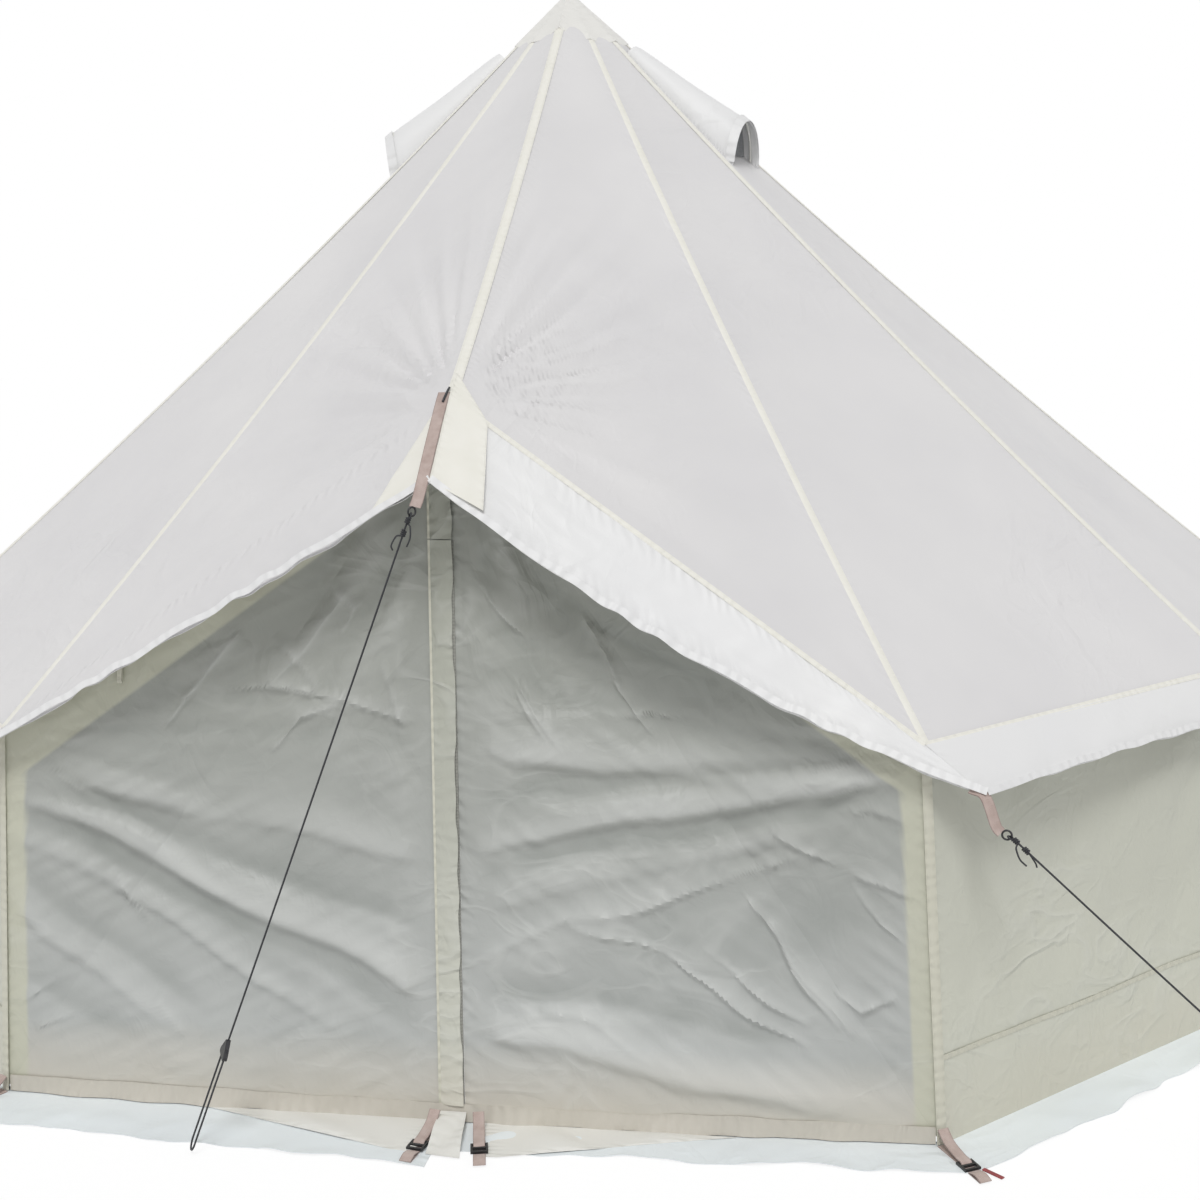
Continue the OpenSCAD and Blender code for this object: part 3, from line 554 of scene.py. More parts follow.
def guy_line(where, web, start, peg):
    ring_end = web + unit(web - start) * (RING + GAP)
    way = unit(peg - ring_end)
    first = ring_end + way * (2 * GAP + 0.006)
    mid = peg - way * TENS_UP
    side = unit(np.array((way[1], -way[0], 0.0)))
    main_path = curve_through([first, mix(first, mid, 0.33) + (0, 0, -0.002),
            mix(first, mid, 0.66) + (0, 0, -0.002), mid + way * 0.004], 40)
    main = tube("guy_line_" + where, main_path, ROPE)
    bend = [peg - way * (0.026 - 0.018 * math.sin(a)) + side * 0.018 * math.cos(a) for a in np.linspace(0,
            math.pi, 15)]
    top = mid - way * 0.004
    legs_path = curve_through([top + side * 0.018, mix(top, peg, 0.5) + side * 0.018] + bend
                              + [mix(top, peg, 0.5) - side * 0.018, top - side * 0.018], 70)
    legs = tube("guy_loop_" + where, legs_path, ROPE)
    ring_mid = web + unit(web - start) * (RING / 2)
    hitch_side = unit(np.cross(way, (0, 0, 1.0)))
    hitch = curve_through([first, mix(first, ring_mid, 0.55) + hitch_side * 0.006,
            ring_mid + unit(web - start) * 0.003 + hitch_side * 0.002,
                           mix(first, ring_mid, 0.55) - hitch_side * 0.006, first - way * 0.001], 30)
    loop = tube("guy_hitch_" + where, hitch, 0.0036, 8)
    knots = [knot("guy_knot_" + where, first + way * 0.002, way),
            knot("guy_knot_low_" + where, first + way * 0.028, way, 0.03, 2.0)]
    for piece in [loop] + knots:
        settle(piece, "tent", CORD)
    for piece, ends in ((main, ("tent", "tensioner_" + where, first, mid)),
            (legs, ("tensioner_" + where, "tent", mid, peg))):
        piece.data.materials.append(CORD)
        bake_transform(piece)
    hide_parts("guy_rope_" + where)
    [loop] + knots
    print("guy line", where, round(length_of(main_path), 3), "loop", round(length_of(legs_path), 3))

# %% Both guy lines
FRONT_WEB = CANOPY_TIP + (-0.024, -0.032, -0.044)
RIGHT_WEB = hem(TURN) + (0.116, -0.022, -0.046)
guy_line("front", FRONT_WEB, CANOPY_TIP, np.array((-0.487, -1.937, 0.0)))
guy_line("right", RIGHT_WEB, hem(TURN), np.array((1.88, -2.0, 0.0)))

# %% [markdown]
# ## The roof
# The seams hang a little between the peak and the eave, so the cloth follows a shallow curve. The two front
# panels also carry the pull of the door's point, which shows as folds that fan out from it. A bilinear grid
# takes each panel's hang and folds as one shift of its points.

# %% Roof cloth
def hang(s, amount):
    return -4 * amount * s * (1 - s)

def fan(place, centre, reach, waves, height, seed, clear=0.05):
    """Folds that fan out from a point and fade with the distance."""
    rel = place - centre
    far = np.linalg.norm(rel, axis=1)
    angle = np.arctan2(rel[:, 0], -rel[:, 2])
    wander = ripple(np.stack([angle * 0.9, far * 1.4], 1), 0.9, seed)
    wave = np.sin(angle * waves + wander * 1.6) * 0.65 + np.sin(angle * waves * 0.43 + seed) * 0.35
    start = np.clip((far - clear) / 0.12, 0, 1)
    return height * wave * start * np.exp(-(far / reach) ** 2)

def out_of_tent(points):
    way = points * (1, 1, 0)
    way /= np.linalg.norm(way, axis=1)[:, None] + 1e-9
    way[:, 2] = 0.9
    return way / np.linalg.norm(way, axis=1)[:, None]

def roof_shape(left_sag, right_sag, seed, point=None):
    def shape(place, u, v):
        rim = np.sin(v * math.pi) * np.sin(np.clip(u, 0, 1) * math.pi) ** 0.5
        seam = np.clip(np.minimum(v, 1 - v) * 14, 0, 1) * np.clip(np.minimum(u, 1 - u) * 22, 0, 1)
        soft = ripple(place, 0.85, seed) * 0.009 * rim + ripple(place, 0.3, seed + 40) * 0.0028 * rim
        soft += np.sin(v * math.pi) * hang(u, 0.010)
        if point is not None:
            pull = fan(place, point, 0.70, 23, 0.0095, seed) + fan(place, point, 0.55, 61, 0.0042, seed + 3)
            pull += fan(place, eave(TURN if place[:, 0].mean() > 0 else -TURN), 0.45, 21, 0.0045, seed + 5)
            slant = place @ unit(np.array((0.45 if seed == 12 else -0.2, 0.2, 1.0)))
            pull += 0.0032 * np.sin(slant * 70 + 2.5 * ripple(place, 0.5, seed + 9)) * np.clip(ripple(place,
                    0.6, seed + 2) + 0.2, 0, 1)
            soft += pull * seam
        else:
            for corner in (eave(TURN * seed), eave(TURN * (seed + 1))):
                soft += fan(place, corner, 0.3, 18, 0.0035, seed + 7)
        shift = out_of_tent(place) * (soft * seam)[:, None]
        shift[:, 2] += hang(u, 1) * (left_sag * (1 - v) + right_sag * v)
        return shift
    return shape

def roof_corners(k):
    return (roof_top(TURN * k), eave(TURN * k), eave(TURN * (k + 1)), roof_top(TURN * (k + 1)))

for k in range(1, 11):
    corners = roof_corners(k)
    panel = cloth("roof_cloth_%d" % k, corners, 110, 44, roof_shape(SEAM_SAG, SEAM_SAG, k))
    settle(panel, "tent", ROOF, ["roof_panel_%d" % k])
    cut_sheet([corners])

front = {"right": (roof_top(0), RIDGE, eave(TURN), roof_top(TURN)),
        "left": (roof_top(-TURN), eave(-TURN), RIDGE, roof_top(0))}
for side, corners in front.items():
    sags = (RIDGE_SAG, SEAM_SAG) if side == "right" else (SEAM_SAG, RIDGE_SAG)
    panel = cloth("roof_cloth_front_" + side, corners, 130, 90,
            roof_shape(*sags, 11 if side == "left" else 12, RIDGE))
    settle(panel, "tent", ROOF, ["roof_front_" + side])
    cut_sheet([corners])
print("roof panels done")

# %% [markdown]
# ## Tapes, cap and patch
# A tape covers each seam, so it runs over the ridge between two panels and bends down at both edges. The cap
# is twelve triangles joined into one skin, and the cream patch strengthens the door's point.

# %% Seam tapes
def ribbon(name, path, width, up, fall=0.0, lift=0.0012, across=4, thickness=0.0008):
    """A flat band along a path. up is the way off the cloth below, and fall bends both edges down."""
    count = len(path) - 1
    up = np.broadcast_to(np.asarray(up, dtype=float), path.shape)
    ahead = np.gradient(path, axis=0)
    side = np.cross(up, ahead)
    side /= np.linalg.norm(side, axis=1)[:, None]
    off = np.cross(ahead, side)
    off /= np.linalg.norm(off, axis=1)[:, None]
    bpy.ops.mesh.primitive_grid_add(x_subdivisions=count, y_subdivisions=across, size=2)
    piece = bpy.context.object
    piece.name = piece.data.name = name
    square = points_of(piece.data)
    step = np.rint((square[:, 0] + 1) / 2 * count).astype(int)
    v = (square[:, 1] + 1) / 2
    lateral = (v - 0.5) * width
    place = path[step] + side[step] * lateral[:, None] + off[step] * (lift - fall * np.abs(lateral))[:, None]
    put_map(piece.data, np.stack([step / count * length_of(path), np.minimum(v, 1 - v) * width], 1))
    put_points(piece.data, place)
    if np.dot(piece.data.polygons[0].normal, up[0]) < 0:
        alone(piece)
        bpy.ops.object.mode_set(mode="EDIT")
        bpy.ops.mesh.select_all(action="SELECT")
        bpy.ops.mesh.flip_normals()
        bpy.ops.object.mode_set(mode="OBJECT")
    thicken(piece, thickness, 1.0)
    return piece

def seam_path(start, end, sag, count=120):
    u = np.linspace(0, 1, count)
    path = start + np.outer(u, end - start)
    path[:, 2] += hang(u, sag)
    return path

tapes, tape_cuts = [], []
for k in range(0, 12):
    low = RIDGE if k == 0 else eave(TURN * k)
    path = seam_path(roof_top(TURN * k), low, RIDGE_SAG if k == 0 else SEAM_SAG)
    up = unit(around(1, TURN * k, 1.0))
    tapes.append(ribbon("tape_%d" % k, path, 0.024, up, fall=0.25 if k else 0.42))
    tape_cuts.append((path[0], path[-1], path[-1] + (0.024, 0, 0), path[0] + (0.024, 0, 0)))
for k in range(1, 12):
    start, end = (eave(TURN * k), eave(TURN * (k + 1))) if k < 11 else (eave(-TURN), RIDGE)
    for a, b in [(start, end) if k < 11 else (RIDGE, eave(TURN))]:
        path = seam_path(a, b, 0.0, 60)
        out = unit(((a + b) / 2) * (1, 1, 0)) * 0.75 + (0, 0, 0.8)
        tapes.append(ribbon("eave_tape_%d" % k, path, 0.012, unit(out), lift=0.0018))
roof_tapes = join("roof_tapes", tapes)
settle(roof_tapes, "tent", TAPE, ["roof_seam_tapes"])
tape_area = sum(np.linalg.norm(c[1] - c[0]) for c in tape_cuts) * 0.024 + 12 * 0.012

# %% Cap and ridge patch
def cap_point(k, r, lift):
    k = k % 12
    end, reach = (RIDGE, 1.477) if k == 0 else (eave(TURN * k), EAVE_R)
    point = mix(PEAK, end, r / reach) + (0, 0, lift)
    point[2] += hang((PEAK_H - point[2]) / 1.7, 0.02)
    return point

cap_parts, cap_cuts = [], []
for k in range(12):
    corners = (PEAK + (0, 0, 0.006), cap_point(k, 0.165, 0.006), cap_point(k + 1, 0.165, 0.006),
            PEAK + (0, 0, 0.006))
    def scallop(place, u, v):
        shift = np.zeros_like(place)
        shift[:, 2] = -0.010 * np.sin(v * math.pi) * u ** 6
        shift += out_of_tent(place) * (ripple(place, 0.09, 3) * 0.0016 * u)[:, None]
        return shift
    cap_parts.append(cloth("cap_part", corners, 24, 12, scallop, thickness=0))
    cap_cuts.append(corners)
cap = join("roof_cap_cloth", cap_parts)
merge_doubles(cap, 2e-4)
thicken(cap, 0.002)
settle(cap, "tent", CAP, ["roof_cap"])
cut_sheet(cap_cuts)

# The patch lies on the canopy and the roof, round the door's point
RIGHT_TIP = np.array((1.078, -1.712, 0.714))
LEFT_TIP = np.array((-0.992, -1.728, 0.764))
patch_parts, patch_cuts = [], []
for s, tip in ((1, RIGHT_TIP), (-1, LEFT_TIP)):
    low = CANOPY_TIP + (tip - CANOPY_TIP) * (0.10 if s > 0 else 0.13)
    side = RIDGE + (eave(s * TURN) - RIDGE) * (0.085 if s > 0 else 0.02)
    up = mix(RIDGE, roof_top(0), 0.045)
    lift = np.array((0, -0.004, 0.006))
    for corners in ((RIDGE + lift, CANOPY_TIP + lift, low + lift, side + lift),
            (RIDGE + lift, up + lift, up + lift, side + lift)):
        patch_parts.append(cloth("patch_part", corners, 18, 10, lambda p, u,
                v: out_of_tent(p) * (ripple(p, 0.07, 8) * 0.0012)[:, None], thickness=0))
        patch_cuts.append(corners)

def face_out(piece, inside=(0, 0, 0.9)):
    """Turns every face of an open skin away from a point inside the tent."""
    alone(piece)
    wrong = [f.index for f in piece.data.polygons if f.normal.dot(f.center - Vector(inside)) < 0]
    bpy.ops.object.mode_set(mode="EDIT")
    bpy.ops.mesh.select_all(action="DESELECT")
    bpy.ops.object.mode_set(mode="OBJECT")
    for index in wrong:
        piece.data.polygons[index].select = True
    bpy.ops.object.mode_set(mode="EDIT")
    bpy.ops.mesh.flip_normals()
    bpy.ops.object.mode_set(mode="OBJECT")

ridge_patch = join("ridge_patch_cloth", patch_parts)
face_out(ridge_patch)
thicken(ridge_patch, 0.0012)
settle(ridge_patch, "tent", TAPE, ["ridge_patch"])
cut_sheet(patch_cuts)

# %% [markdown]
# ## Walls, valance and canopy
# The walls hang between the eave and the ground, so they bulge a little and show slack folds at their top
# corners. The valance hangs free below the eave. The canopy is one sheet on each side of the door, whose hem
# sags between its pulled corners.

# %% Walls
def wall_shift(place, k):
    height = place[:, 2] / WALL_H
    rim = np.clip(np.sin(np.clip(height, 0, 1) * math.pi), 0, 1)
    soft = ripple(place, 0.5, k + 60) * 0.008 + ripple(place, 0.16, k + 80) * 0.0028
    for corner in (foot(TURN * k, 0.78), foot(TURN * (k + 1), 0.78)):
        rel = place - corner
        far = np.linalg.norm(rel, axis=1)
        angle = np.arctan2(np.linalg.norm(rel[:, :2], axis=1), -rel[:, 2])
        soft = soft + 0.006 * np.sin(angle * 13 + k) * np.exp(-(far / 0.42) ** 2) * np.clip(far / 0.1, 0, 1)
    way = place * (1, 1, 0)
    way /= np.linalg.norm(way, axis=1)[:, None]
    return way * (soft * rim + 0.004 * rim)[:, None]

def wall_corners(k, low=SEAT, high=0.796):
    return (foot(TURN * k, high), foot(TURN * k, low), foot(TURN * (k + 1), low), foot(TURN * (k + 1), high))

for k in range(1, 11):
    corners = wall_corners(k)
    def shape(place, u, v):
        return wall_shift(place, k) * np.clip(np.minimum(v, 1 - v) * 12, 0, 1)[:, None]
    wall = cloth("wall_cloth_%d" % k, corners, 56, 64, shape)
    settle(wall, "tent", WALL, ["wall_panel_%d" % k])
    cut_sheet([corners])

trim_parts = []
for k in range(1, 12):
    out = unit(around(1, TURN * k, 0.05))
    path = seam_path(foot(TURN * k, 0.79), foot(TURN * k, 0.004), 0.0, 40) + out * 0.001
    trim_parts.append(ribbon("corner_tape", path, 0.022, out, fall=0.2, lift=0.002))
    if k < 11:
        a, b = foot(TURN * k, 0.176), foot(TURN * (k + 1), 0.176)
        path = a + np.outer(np.linspace(0, 1, 60), b - a)
        path += wall_shift(path, k) * np.clip(np.minimum(np.linspace(0, 1, 60), np.linspace(1, 0, 60)) * 12, 0,
                1)[:, None]
        way = unit((a + b) * (1, 1, 0))
        trim_parts.append(ribbon("band_tape", path, 0.011, way, lift=0.0012))
wall_tapes = join("wall_tapes", trim_parts)
settle(wall_tapes, "tent", WALL_TAPE, ["wall_trim"])

# %% Valance and canopy
def corner_hem(k):
    return {1: RIGHT_TIP, 11: LEFT_TIP}.get(k, hem(TURN * k))

valance_parts, valance_cuts = [], []
for k in range(1, 11):
    top = [around(EAVE_R + 0.003, TURN * j, WALL_H + 0.001) for j in (k, k + 1)]
    corners = (top[0], corner_hem(k), corner_hem(k + 1), top[1])
    def shape(place, u, v):
        bow = np.sin(v * math.pi)
        shift = out_of_tent(place) * ((ripple(place, 0.22, k + 20) * 0.007 + ripple(place, 0.07,
                k + 33) * 0.0022) * u ** 1.2 * bow ** 0.4)[:, None]
        shift[:, 2] += 0.010 * bow * u + 0.002 * np.sin(v * 44 + k) * u ** 3 * bow
        return shift
    valance_parts.append(cloth("valance_part", corners, 14, 80, shape, thickness=0))
    valance_cuts.append(corners)
valance = join("valance_cloth", valance_parts)
face_out(valance)
merge_doubles(valance, 5e-4)
thicken(valance, 0.0015)
settle(valance, "tent", VALANCE, ["eave_valance"])
cut_sheet(valance_cuts)

canopy_parts, canopy_cuts = [], []
for s, tip, sag in ((1, RIGHT_TIP, 0.058), (-1, LEFT_TIP, 0.006)):
    corners = (RIDGE + (0, -0.001, 0), eave(s * TURN) + (0, -0.002, 0.001), tip, CANOPY_TIP)
    def shape(place, u, v):
        bow = np.sin(u * math.pi)
        near = np.exp(-u * 4.0) + 0.5 * np.exp(-(1 - u) * 5.0)
        soft = ripple(place, 0.16, 5 + s) * 0.006 + ripple(place, 0.06, 7) * 0.0022
        soft += np.sin(v * 30 + u * 6 + ripple(place, 0.3, 3)) * 0.0035 * near
        shift = out_of_tent(place) * (soft * bow ** 0.3 * v ** 0.7 * np.clip(u * 14, 0, 1))[:, None]
        shift[:, 2] -= sag * 4 * u * (1 - u) * v ** 1.3
        shift[:, 2] += 0.0035 * np.sin(u * 60 + 2 * np.sin(u * 17)) * v ** 4 * bow
        return shift
    canopy_parts.append(cloth("canopy_part", corners, 110, 22, shape, thickness=0))
    canopy_cuts.append(corners)
for part, cut, tag, finish, nodes in zip(canopy_parts, canopy_cuts, ("right", "left"), (VALANCE, ROOF),
        (["door_canopy"], [])):
    canopy = join("door_canopy_cloth_" + tag, [part])
    face_out(canopy)
    merge_doubles(canopy, 3e-4)
    thicken(canopy, 0.0015)
    settle(canopy, "tent", finish, nodes)
    cut_sheet([cut])

# The hem is folded over twice, which shows as a thicker line at its edge
hem_parts = []
for s, tip, sag in ((1, RIGHT_TIP, 0.058), (-1, LEFT_TIP, 0.006)):
    u = np.linspace(0.0, 1, 110)
    path = CANOPY_TIP + np.outer(u, tip - CANOPY_TIP)
    path[:, 2] -= sag * 4 * u * (1 - u) - 0.0035 * np.sin(u * 60 + 2 * np.sin(u * 17)) * np.sin(u * math.pi)
    path += out_of_tent(path) * 0.001
    path[:, 2] += 0.008
    hem_parts.append(ribbon("hem_tape", path, 0.016, unit(np.array((0.1 * s, -0.8, 0.6))), lift=0.0022))
for k in range(1, 11):
    v = np.linspace(0, 1, 80)
    path = corner_hem(k) + np.outer(v, corner_hem(k + 1) - corner_hem(k))
    path[:, 2] += 0.010 * np.sin(v * math.pi) + 0.002 * np.sin(v * 44 + k) * np.sin(v * math.pi) + 0.008
    way = (around(EAVE_R, TURN * (k + 0.5), 0))
    up = unit(unit(way) * 0.9 + (0, 0, 0.45))
    hem_parts.append(ribbon("hem_tape", path, 0.014, up, lift=0.0020))
hem_line = join("hem_tapes", hem_parts)
settle(hem_line, "tent", VALANCE)

# %% [markdown]
# ## The door
# The door is one light cloth to the eye. Its folds run in long soft bands from the eave corners down towards
# the zip, and sharper creases cross them. A list holds each fold as a bent line, and the cloth rises by a bell
# curve of the distance to that line. One rule serves every part of the door, so that the bands go on from one
# part to the next. Each leaf keeps its own sheet, because it folds away on its own.

# %% Door folds
# Each fold: its half width (a negative one is a sharp crease), its height, and points across and up the door
FOLDS = (
    (0.11, -0.55, ((0.36, 0.32), (0.62, 0.37), (0.90, 0.50))),
    (0.10, -0.35, ((0.10, 0.90), (0.30, 0.88), (0.60, 0.82))),
    (0.12, -0.25, ((-0.75, 0.80), (-0.45, 0.72), (-0.10, 0.66))),
    (0.03, 1.0, ((-0.973, 0.674), (-0.659, 0.532), (-0.274, 0.359), (-0.022, 0.235))),
    (0.034, 0.55, ((-0.951, 0.694), (-0.533, 0.628), (-0.274, 0.583), (-0.033, 0.549))),
    (0.03, -0.8, ((-0.951, 0.679), (-0.533, 0.555), (-0.274, 0.455), (-0.033, 0.37))),
    (0.032, -0.8, ((-0.951, 0.625), (-0.638, 0.46), (-0.376, 0.355), (-0.032, 0.173))),
    (0.02, 0.5, ((-0.961, 0.575), (-0.712, 0.447), (-0.417, 0.267), (-0.212, 0.182))),
    (0.022, 0.45, ((-0.963, 0.427), (-0.798, 0.297), (-0.584, 0.142))),
    (0.022, -0.5, ((-0.963, 0.496), (-0.766, 0.347), (-0.532, 0.184))),
    (0.024, -0.4, ((-0.961, 0.289), (-0.852, 0.196), (-0.658, 0.118))),
    (-0.007, 0.5, ((-0.744, 0.494), (-0.707, 0.428), (-0.659, 0.369))),
    (-0.007, 0.5, ((-0.648, 0.211), (-0.616, 0.179), (-0.584, 0.142))),
    (-0.008, 0.4, ((-0.961, 0.195), (-0.873, 0.254))),
    (-0.008, 0.4, ((-0.928, 0.138), (-0.808, 0.188))),
    (-0.01, 0.9, ((-0.45, 0.994), (-0.528, 0.899), (-0.619, 0.792))),
    (-0.009, 0.7, ((-0.517, 0.868), (-0.371, 0.878), (-0.227, 0.852), (-0.053, 0.799))),
    (-0.009, 0.6, ((-0.227, 0.847), (-0.326, 0.809), (-0.393, 0.73))),
    (-0.009, 0.6, ((-0.217, 1.078), (-0.26, 1.027), (-0.304, 0.964), (-0.393, 0.88))),
    (-0.008, 0.5, ((-0.371, 0.995), (-0.315, 0.933), (-0.282, 0.872))),
    (-0.008, 0.5, ((-0.272, 1.099), (-0.195, 1.048), (-0.227, 0.996))),
    (-0.008, 0.4, ((-0.151, 0.935), (-0.107, 0.813), (-0.042, 0.733))),
    (0.034, 0.9, ((0.042, 0.769), (0.318, 0.725), (0.634, 0.715), (0.921, 0.734))),
    (0.03, 1.0, ((0.033, 0.55), (0.391, 0.63), (0.676, 0.676), (0.873, 0.733))),
    (0.032, -0.8, ((0.032, 0.656), (0.307, 0.679), (0.585, 0.711), (0.855, 0.75))),
    (0.034, -0.6, ((0.033, 0.499), (0.308, 0.561), (0.585, 0.612), (0.856, 0.688))),
    (0.03, 0.4, ((0.033, 0.425), (0.308, 0.506), (0.585, 0.567), (0.82, 0.639))),
    (-0.012, 0.7, ((0.043, 0.324), (0.252, 0.427), (0.401, 0.443), (0.549, 0.492), (0.731, 0.561))),
    (0.026, -0.6, ((0.043, 0.278), (0.262, 0.267), (0.513, 0.231), (0.732, 0.186))),
    (0.034, 1.0, ((0.043, 0.204), (0.309, 0.16), (0.587, 0.099), (0.947, 0.035))),
    (-0.01, 0.6, ((0.196, 0.242), (0.309, 0.214), (0.43, 0.138))),
    (-0.008, 0.8, ((0.252, 0.418), (0.448, 0.356), (0.623, 0.244), (0.741, 0.177))),
    (-0.008, 0.6, ((0.522, 0.371), (0.623, 0.298), (0.741, 0.222))),
    (-0.008, 0.8, ((0.604, 0.477), (0.677, 0.39), (0.731, 0.302), (0.795, 0.215))),
    (-0.008, 0.6, ((0.659, 0.425), (0.731, 0.32), (0.822, 0.203))),
    (-0.007, 0.5, ((0.82, 0.527), (0.883, 0.44), (0.932, 0.397))),
    (-0.007, 0.5, ((0.82, 0.536), (0.892, 0.525), (0.945, 0.5))),
    (-0.008, 0.6, ((0.786, 0.286), (0.839, 0.252), (0.91, 0.29))),
    (-0.008, 0.6, ((0.667, 0.604), (0.73, 0.57), (0.785, 0.549))),
    (-0.008, 0.5, ((0.766, 0.651), (0.856, 0.663), (0.936, 0.645))),
    (-0.009, 0.8, ((0.057, 1.105), (0.112, 1.042), (0.167, 0.98))),
    (-0.01, 0.8, ((0.274, 1.027), (0.328, 0.959), (0.355, 0.882), (0.424, 0.794))),
    (-0.012, -0.9, ((0.296, 1.016), (0.424, 0.949), (0.561, 0.894))),
    (-0.009, 0.6, ((0.318, 0.824), (0.424, 0.836), (0.551, 0.816))),
    (-0.008, 0.5, ((0.102, 0.932), (0.178, 0.844), (0.243, 0.756))),
    (-0.008, 0.5, ((0.134, 0.875), (0.211, 0.781))),
)

def split_x(z):
    return ZIP_FOOT[0] * (1.47 - z) / 1.47

def from_line(x, z, points):
    """The distance to a bent line, how far along it the nearest point lies, and whether the place is above."""
    best, along, above = np.full(len(x), 9.0), np.zeros(len(x)), np.zeros(len(x))
    for k in range(len(points) - 1):
        (x0, z0), (x1, z1) = points[k], points[k + 1]
        dx, dz = x1 - x0, z1 - z0
        t = np.clip(((x - x0) * dx + (z - z0) * dz) / (dx * dx + dz * dz), 0, 1)
        far = np.hypot(x - x0 - t * dx, z - z0 - t * dz)
        along = np.where(far < best, (k + t) / (len(points) - 1), along)
        above = np.where(far < best, z - z0 - t * dz > 0, above)
        best = np.minimum(best, far)
    return best, along, above

def door_fold(place):
    x, z = place[:, 0], place[:, 2]
    right = x > split_x(z)
    side = np.where(right, 1.0, -1.0)
    flow = ripple(np.stack([x * 1.2, z * 2.0 - side * x * 0.6], 1), 0.5, 31)
    fold = np.zeros(len(x))
    for half, height, points in FOLDS:
        far, along, above = from_line(x + flow * 0.006, z + flow * 0.009, points)
        if half > 0:
            width = half * np.where(above > 0, 1.25, 0.6)
            fold += height * np.exp(-(far / width) ** 2) * np.clip(np.sin(along * math.pi) * 1.6 + 0.25, 0, 1)
        else:
            fold += 0.9 * height * np.exp(-far / (half * np.where(above > 0, -1.6,
                    -0.7))) * np.sin(along * math.pi) ** 0.4
    dx, dz = 0.975 - side * x, z - 0.80
    far, angle = np.hypot(dx, dz), np.arctan2(dz, dx)
    wander = ripple(np.stack([angle * 1.2 + right * 3.0, far * 0.55], 1), 0.8, 14)
    bands = 0.6 * np.sin(angle * 27 + wander * 2.6 + right * 2.1) + 0.4 * np.sin(angle * 47 + wander * 3.0)
    bands *= np.clip(far / 0.25, 0, 1) * np.clip((z - 0.03) / 0.16, 0,
            1) * np.exp(-((angle + 0.32) / 0.62) ** 2)
    far2, angle2 = np.hypot(x, 1.47 - z), np.arctan2(x, 1.47 - z)
    drop = np.sin(angle2 * 21 + ripple(np.stack([angle2, far2], 1), 0.5,
            4) * 1.8) * np.exp(-((far2 - 0.34) / 0.24) ** 2)
    soft = ripple(np.stack([x + z * 0.4, z * 1.3 - side * x * 0.5], 1), 0.34, 21)
    fine = ripple(np.stack([x * 0.7 - z * 0.3 * side, z * 1.8 + x * side], 1), 0.10, 27)
    return (fold + bands * 0.22 + drop * 0.3 + soft * 0.16 + fine * 0.08) * door_free(place)

def door_free(place):
    """1 where the cloth can move, and 0 at its seams, its zip and the ground."""
    x, z = place[:, 0], place[:, 2]
    off = x - split_x(z)
    edge = np.clip((np.abs(off) - np.where(off < 0, 0.056, 0.014)) / 0.06, 0,
            1) * np.clip((1.0 - np.abs(x)) / 0.09, 0, 1)
    tie = 1 - np.exp(-((np.abs(x) - 0.706) ** 2 + (z - 0.92) ** 2) / 0.06 ** 2)
    return edge * tie * np.clip((RIDGE[2] - 0.69 * np.abs(x) - z) / 0.08, 0, 1) * np.clip((z - 0.01) / 0.08, 0,
            1)

def door_border(place):
    x, z = np.abs(place[:, 0]), place[:, 2]
    side_edge = np.clip((x - (0.999 - 0.037 * z / 0.8) + 0.052) / 0.006, 0, 1)
    slope_edge = np.clip((0.105 - (RIDGE[2] - 0.696 * x - z) * 0.82) / 0.006, 0, 1)
    return np.maximum(side_edge, slope_edge)

# The fold height is also kept on the cloth for the painted highlight and painted shade of the door's folds.
def door_values(place, u, v):
    return {"fold": door_fold(place), "border": door_border(place)}

def door_shape(place, u, v):
    shift = np.zeros_like(place)
    fold = door_fold(place)
    shift[:, 1] = -0.007 * (1 + np.tanh(fold * 2.0)) * door_free(place) - 0.010 * np.clip(fold, 0, 2)
    return shift

def corner_at(side):
    return foot(side * TURN) + (0, 0, 0)

def down_to(a, b, z):
    return mix(a, b, (a[2] - z) / (a[2] - b[2]))

CLEAR = 0.032
def door_piece(name, panels, body, nodes, across=60):
    """All panels take the same steps from top to bottom, so that two neighbours share every point of their edge."""
    parts = [cloth(name, corners, 170, across, door_shape, thickness=0,
            values=door_values) for corners in panels]
    piece = join(name, parts)
    face_out(piece)
    merge_doubles(piece, 2e-5)
    place = points_of(piece.data)
    x, z = np.abs(place[:, 0]), place[:, 2]
    seam = np.minimum(np.abs(place[:, 0] - split_x(z)) - 0.004,
            np.minimum(0.999 - 0.037 * z / 0.8 - x, (RIDGE[2] - 0.696 * x - z) * 0.82 + 0.01))
    put_map(piece.data, np.stack([z + 0.4 * x, np.clip(seam, 0, 1)], 1))
    thicken(piece, 0.0013)
    settle(piece, body, DOOR, nodes)
    cut_sheet(panels)
    return piece

TOP = RIDGE + (0, 0, -0.0026)
heads = []
for s, side in ((1, "right"), (-1, "left")):
    corner = corner_at(s)
    zip_low = down_to(LEAF_TOP, ZIP_FOOT, CLEAR) + (s * 0.0004, 0, 0)
    hinge_low, head_low = down_to(LEAF_TOP, corner, CLEAR), down_to(TOP, corner, CLEAR)
    door_piece("door_leaf_cloth_" + side, [(LEAF_TOP, zip_low, hinge_low, LEAF_TOP)], "door_leaf_" + side,
            ["door_leaf_" + side], 150)
    door_piece("door_gable_cloth_" + side, [(TOP, head_low, corner, eave(s * TURN) + (0, 0, -0.0026))], "tent",
            ["door_gable_" + side], 80)
    heads.append((LEAF_TOP, hinge_low, head_low, TOP))
door_piece("door_head_cloth", heads, "tent", ["door_head"], 30)

